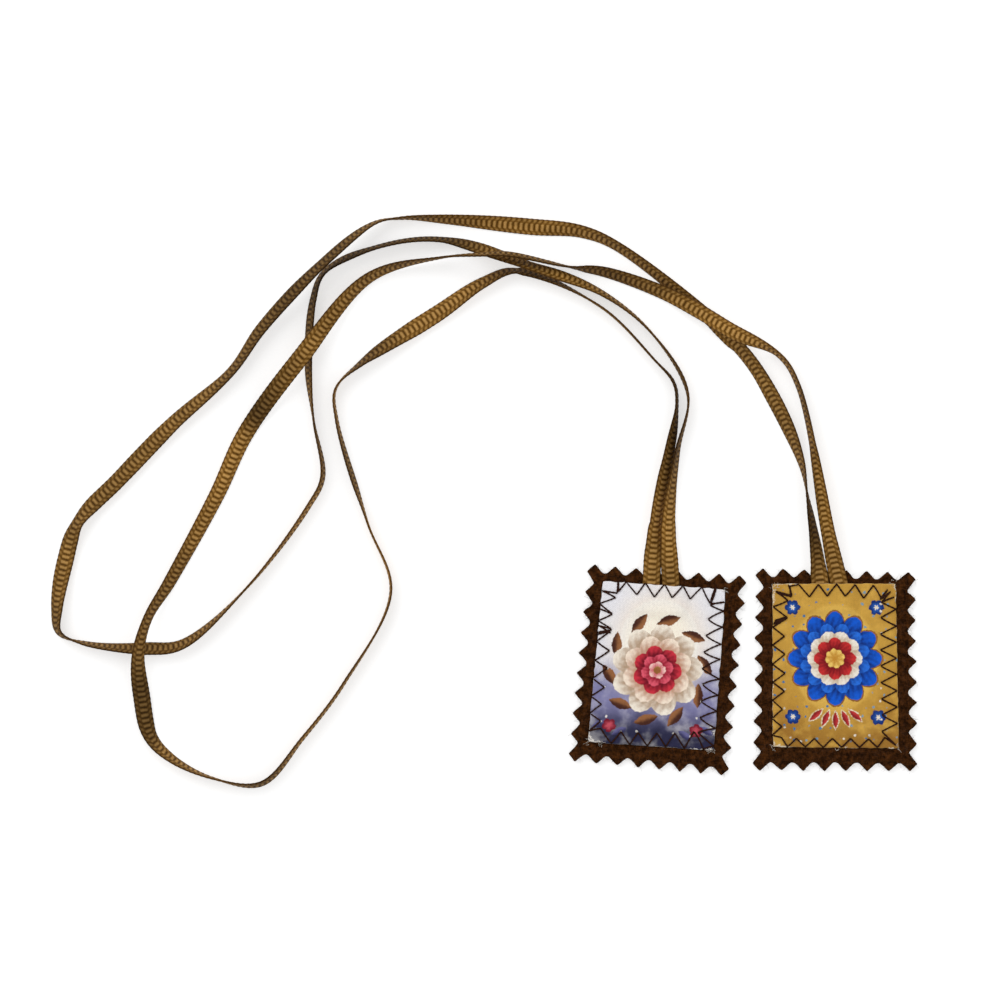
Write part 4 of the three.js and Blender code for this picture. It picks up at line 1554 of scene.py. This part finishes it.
# Ribbon routes: x and y in pixels, roll in degrees (0 flat, 90 on edge, 180 other face up), and height of the
# lower edge over the table in millimetres.
RIBBON_A_ROUTE = (
    (819.6, 583, 0, ON_FELT), (814.8, 546, 48, 1.7), (807.5, 500, 79, 0.5), (800.2, 460.4, 109, 0),
    (773.5, 399.3, 139, 0), (739.1, 347.8, 131, 0), (621.4, 249.5, 116, 0), (583, 232.4, 128, 0),
    (530, 227, 151, 0), (446, 219.8, 116, 0), (401, 218.7, 93, 0), (374.4, 224, 77, 1.5),
    (321.5, 266.6, 58, 5.0), (262.6, 328, 51, 1.0), (231.7, 371.6, 60, 0), (173.5, 423.6, 36, 0),
    (119.3, 479.4, 28, 0), (78.6, 522.5, 49, 0), (65.4, 561.9, 20, 0), (57.6, 608, 48, 0),
    (59.6, 632, 70, 0), (84.2, 642.8, 99, 0), (148, 648.4, 131, 0), (183, 644, 120, 0),
    (248.6, 586.1, 90, 0), (308.7, 506.8, 79, 0), (323, 477, 79, 0), (314, 421, 91, 0),
    (308.8, 368, 113, 0), (313.5, 300, 111, 0), (324.5, 272.5, 106, 0), (376.2, 247.8, 104, 0),
    (440, 240, 108, 0), (529, 266.3, 119, 2.0), (601.3, 293.4, 109, 0.8), (651.5, 333.5, 93, 0),
    (687.4, 394, 88, 0), (677, 452, 106, 0), (668.1, 521, 139, 1.3), (670.5, 583, 180, ON_FELT),
)
RIBBON_B_ROUTE = (
    (651, 583, 0, ON_FELT), (655.2, 522, 52, 1.3), (676.6, 404, 82, 0), (673.2, 382.3, 82, 0),
    (654.5, 360.4, 88, 0), (601.3, 307.7, 90, 0), (516, 271.2, 72, 0), (483, 283, 52, 0),
    (439.6, 312.4, 24, 0), (361, 363.8, 71, 0), (336, 389, 91, 0), (337, 420, 96, 0), (367.5, 522, 90, 0),
    (391, 591.5, 85, 0), (344.5, 682.7, 96, 0), (303, 738, 99, 0), (261.8, 783.3, 106, 0),
    (213, 777.7, 90, 0), (172, 758, 68, 0), (151.2, 736.4, 48, 0), (142.4, 697, 23, 1.0),
    (140, 654, 52, 4.7), (148.4, 618.9, 65, 1.5), (170.4, 581.3, 52, 0), (216.9, 495.4, 36, 0),
    (246.6, 432, 25, 0), (301.7, 357.9, 17, 5.4), (369.7, 277.9, 59, 0.2), (440, 258.6, 89, 2.0),
    (480, 256.2, 102, 6.1), (507, 255.4, 107, 5.0), (570, 267.4, 91, 0), (605.8, 272.7, 60, 0),
    (663.5, 293.2, 46, 0.5), (698.8, 312.2, 39, 3.2), (732, 332.7, 39, 5.0), (778.6, 355.6, 79, 0.3),
    (798, 387, 80, 0), (828, 537, 43, 2.4), (838.6, 583, 0, ON_FELT),
)
# Places where a ribbon's roll was read again between two rows of its route: pixel and roll.
RIBBON_A_TWISTS = (
    (819, 563, 35), (812.7, 530, 60), (809, 513, 69), (785, 422, 134), (757, 370, 132), (470.6, 246, 126),
    (484.4, 250, 130), (355, 235.5, 65), (338, 250, 59), (290, 297, 48), (191, 406, 43), (154, 441, 26),
    (136, 461, 24), (97, 501, 29), (70, 541, 26), (683, 378, 84), (672, 480.5, 117), (669.3, 501, 129),
    (667.7, 542, 150), (668.6, 562.4, 172), (667.9, 528, 146), (346, 256, 112), (104, 646.2, 108),
    (127, 648, 120), (731, 338.5, 150), (722, 330.5, 148), (709.7, 319, 134), (556, 275, 126),
    (309.5, 325, 115),
)
RIBBON_B_TWISTS = (
    (653, 562.4, 6), (654.7, 527, 43), (654, 542, 34), (662.5, 480.8, 48), (667, 460.4, 55),
    (670.8, 440, 60), (352.7, 478.6, 104), (388.4, 268.9, 66), (579.5, 269, 81), (587.1, 269.8, 71),
    (811, 440, 75.5), (814.6, 460.4, 66), (817.6, 480.8, 59), (821, 501.2, 52), (834.2, 562.4, 22),
    (421, 325, 20), (399, 338.5, 36), (378, 352, 52), (144.5, 718, 27), (326.5, 322.5, 36),
    (341, 305.5, 44), (549, 263, 102), (524, 274, 64), (507, 273, 66),
)
# How light the cloth is at places along a ribbon: pixel and share.
RIBBON_A_PAINTED_LIGHT = (
    (820, 583, 0.82), (812, 530, 0.24), (800, 450, 0.6), (740, 347, 0.72), (600, 237, 0.78),
    (530, 227.5, 1.05), (446, 219, 0.87), (320, 265, 0.3), (231, 371, 0.47), (172, 422, 0.66),
    (78, 522, 0.56), (66, 562, 0.77), (57, 620, 0.55), (148, 649, 0.5), (200, 632, 0.6), (310, 507, 0.84),
    (323, 477, 0.62), (308, 368, 0.48), (318, 275, 0.3), (440, 240, 0.32), (529, 266, 0.86),
    (640, 322, 0.72), (688, 394, 0.64), (677, 452, 0.35), (668.5, 521, 1.08), (670, 583, 0.72),
)
RIBBON_B_PAINTED_LIGHT = (
    (652, 583, 0.8), (656, 522, 1.0), (677, 404, 0.32), (610, 314, 0.7), (516, 270, 0.45), (483, 283, 0.78),
    (440, 313, 0.98), (361, 364, 0.37), (336, 389, 0.82), (350, 470, 0.4), (380, 550, 1.2),
    (386, 610, 0.74), (300, 740, 0.8), (262, 784, 0.4), (213, 778, 0.72), (165, 753, 0.72),
    (150, 737, 0.42), (141, 690, 0.3), (138, 654, 0.68), (160, 594, 0.62), (216, 495, 1.1),
    (240, 443, 1.08), (258, 414, 0.3), (284, 379, 0.64), (306, 346, 0.82), (343, 302, 0.82),
    (401, 264, 0.62), (507, 254.5, 0.52), (606, 272, 0.5), (700, 310, 1.05), (733, 331, 1.18),
    (779, 355, 0.92), (800, 394, 0.6), (823, 501, 1.0), (838, 583, 0.76),
)
# Needle holes of each zigzag in the order of sewing.
LEFT_HOLES = (
    (626, 581.6), (636.5, 594.5), (645, 582.4), (654, 597), (664.4, 583.8), (671.7, 597.5), (682.7, 585.3),
    (690, 599), (701.8, 586.8), (710, 603.5), (716, 586), (710, 603), (724, 602), (709.5, 605),
    (723.8, 611), (707.6, 619), (722.3, 627), (705.4, 635.5), (720.8, 644), (703.2, 652), (720, 659),
    (701.8, 668.5), (719.4, 679), (701.8, 684), (718, 695), (700.3, 701), (716.8, 711), (699.3, 717.5),
    (715.6, 728), (697.5, 732), (714, 746), (703, 749), (693.7, 731), (684, 748), (674.6, 732.6),
    (665.5, 746.5), (656.6, 732.6), (647, 745.5), (638, 732), (629.5, 744.5), (621, 731), (611, 743),
    (600.6, 728), (588.3, 731), (600.5, 720.5), (589.5, 713), (601.3, 704), (590.6, 696), (604.3, 687),
    (592.5, 678), (607.2, 667.7), (594.7, 660), (609.4, 650.4), (596.2, 641), (610, 631), (597.4, 634),
    (611.5, 629.5), (597.2, 632), (610.5, 632.5), (597.6, 625), (611, 628.5), (597.8, 620.5), (612, 614),
    (598.4, 608), (612, 613.5), (599.2, 603.3), (615.5, 597.5), (601.5, 590.5), (617, 593), (617.8, 581),
    (617.2, 592.5), (618.4, 582), (618, 591.5), (626, 581.6),
)
RIGHT_HOLES = (
    (788, 584.5), (791.5, 596), (788.8, 585.3), (790.6, 597), (789.5, 586), (798.2, 584.2), (808.8, 596.7),
    (817.8, 584.2), (826.6, 596), (836.1, 583.8), (844.5, 596), (854.5, 584.3), (863, 598.2), (872.8, 585),
    (880.5, 598), (887, 589.5), (879.5, 599.5), (890, 591.5), (882, 601), (893.5, 597), (880.5, 602),
    (895.5, 609), (880, 617.6), (896, 626), (879.4, 634), (896, 642), (879.4, 649.7), (896, 658),
    (879.8, 665.7), (896.3, 674), (880, 682.4), (896.5, 690.5), (880.5, 698.6), (896.8, 706.7),
    (881, 714.8), (897, 723), (881, 731), (895.5, 745), (884, 737), (877, 747), (868, 738.5), (859, 747),
    (850, 738), (841, 747), (832, 738), (823, 747), (814, 738), (805, 746.5), (796, 738), (787, 746.5),
    (781, 737), (771.5, 735), (781.5, 726), (771.8, 718), (782, 709), (772, 700), (784, 691), (772, 682),
    (784.5, 673), (772, 664), (784.5, 654), (772, 645), (784, 636), (772.2, 627), (786, 618), (773, 622.5),
    (786.5, 616.5), (774, 620.5), (785.5, 619), (772.6, 624), (787, 617.5), (772.5, 606.5), (787.5, 600.5),
    (775, 591.2), (791, 595.5), (776.5, 592.4), (790.5, 596.3),
)
# Worn spots of the printed cloths: pixel, reach in millimetres and strength.
LEFT_SCUFFS = (
    (588, 741, 2.2, 1.5), (600, 740, 1.6, 1.3), (713, 746, 2.4, 1.4), (711, 732, 1.8, 0.7),
    (722, 590, 1.6, 0.7), (640, 745, 2.6, 0.45), (690, 749, 2.2, 0.5), (588, 722, 2.0, 0.45),
)
RIGHT_SCUFFS = (
    (889, 585, 2.2, 1.3), (896, 600, 1.8, 0.8), (774, 590, 1.8, 1.1), (773, 600, 1.5, 0.7),
    (779, 746, 2.2, 0.9), (892, 747, 2.0, 0.8), (772.5, 690, 2.6, 0.4), (790, 583, 2.0, 0.5),
    (897, 740, 1.6, 0.6), (773, 720, 2.4, 0.4),
)
# Pale pricks at needle holes in the prints.
LEFT_PRICKS = (
    (607.7, 668), (702.2, 671.4), (604, 687), (703.2, 684), (701, 701), (696.2, 718), (636.5, 731),
    (673, 733), (620.5, 731), (600.4, 721), (711, 727), (606, 716), (690, 736),
)
RIGHT_PRICKS = (
    (784, 689), (784, 708), (784, 727), (880, 604), (880, 611), (881, 633), (880.5, 687.6), (879.6, 701),
    (880.6, 719), (843, 738.5), (854.4, 735), (869, 735), (790, 737), (800, 741),
)
# Places where yarns of the prints have come loose.
LEFT_FRAYS = ((588, 741), (713, 749), (724, 591), (600, 742), (708, 749))
RIGHT_FRAYS = ((892, 584), (773, 745), (897, 746), (773, 588), (840, 747))


@dataclass(frozen=True)
class EndLay:
    """What differs between the two ends: cuts, print, sewing, wear and loose yarns."""

    felt_cut: Cut
    patch_cut: Cut
    tuck: Pixel
    art: BloomPrint | MedallionPrint
    holes: tuple[Pixel, ...]
    loose_bow: float
    scuffs: tuple[Scuff, ...]
    pricks: tuple[Pixel, ...]
    frays: tuple[Pixel, ...]
    seed: int


ENDS = {
    Side.LEFT: EndLay(
        felt_cut=Cut((657.7, 669.1), 42.7 * MM, 53.0 * MM, 4.8, 0.75, 0.5 * MM, 0.85 * MM),
        patch_cut=Cut((657.3, 665.4), 33.0 * MM, 42.7 * MM, 4.0, 0.7, 0.8 * MM, 0.0),
        tuck=(661, 583),
        art=BloomPrint(),
        holes=LEFT_HOLES,
        loose_bow=0.17 * MM,
        scuffs=LEFT_SCUFFS,
        pricks=LEFT_PRICKS,
        frays=LEFT_FRAYS,
        seed=11,
    ),
    Side.RIGHT: EndLay(
        felt_cut=Cut((835.1, 670.4), 43.1 * MM, 53.3 * MM, 0.9, -0.8, 1.3 * MM, -0.85 * MM),
        patch_cut=Cut((834.5, 665.4), 33.0 * MM, 43.4 * MM, 0.3, -0.9, 0.8 * MM, 0.4 * MM),
        tuck=(829, 583),
        art=MedallionPrint(),
        holes=RIGHT_HOLES,
        loose_bow=0.0,
        scuffs=RIGHT_SCUFFS,
        pricks=RIGHT_PRICKS,
        frays=RIGHT_FRAYS,
        seed=47,
    ),
}


def build_side(side: Side, effects: Effects) -> None:
    """Builds one panel with its patch, its sewing and its loose ends.

    Args:
        side: Which end of the scapular.
        effects: The shared shader effects.
    """
    lay, word = ENDS[side], side.value
    felt = FeltPanel(f"{word}_felt", f"felt_{word}", lay.felt_cut, lay.seed)
    patch = PrintPatch(
        name=f"{word}_print",
        node=f"patch_{word}",
        slot=f"print_{word}",
        cut=lay.patch_cut,
        felt=felt,
        felt_piece=f"{word}_felt",
        tuck=lay.tuck,
        art=lay.art,
        scuffs=lay.scuffs,
        pricks=lay.pricks,
        seed=lay.seed + 20,
    )
    seam = ZigzagSeam(f"{word}_zigzag", patch, lay.holes, lay.seed + 40, loose_bow=lay.loose_bow)
    felt.build(WoolFinish(f"{word}_wool").build(effects), seam.hole_places())
    felt.build_fibres(WoolFinish(f"{word}_loose_wool", tone(34, 18, 12), tone(92, 64, 48)).build(effects))
    patch.build(lay.art.finish().build(effects), seam.hole_places())
    seam.build(ThreadFinish(f"{word}_thread", tone(30, 12, 6), tone(64, 32, 18)).build())
    yarn = ThreadFinish(f"{word}_yarn", tone(206, 198, 186), tone(240, 234, 226), 0.8).build()
    FrayedEnds(f"{word}_frays", patch, lay.frays, lay.seed + 60).build(yarn)


def main() -> None:
    """Builds the scapular and its table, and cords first."""
    logging.basicConfig(level=logging.INFO, format="%(message)s")
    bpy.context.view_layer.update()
    studio = Studio()
    studio.place_camera()
    grosgrain = GrosgrainFinish().build()
    for name, node, route, twists, ages, rib_way in (
        ("long_ribbon_a", "ribbon_a", RIBBON_A_ROUTE, RIBBON_A_TWISTS, RIBBON_A_PAINTED_LIGHT, 1.0),
        ("long_ribbon_b", "ribbon_b", RIBBON_B_ROUTE, RIBBON_B_TWISTS, RIBBON_B_PAINTED_LIGHT, -1.0),
    ):
        rows = tuple(RouteRow(*row) for row in route)
        Grosgrain(name, node, rows, twists, ages, rib_way).build(grosgrain)
    effects = Effects.build()
    for side in Side:
        build_side(side, effects)
    studio.lay_table()
    studio.light()


if __name__ == "__main__":
    main()
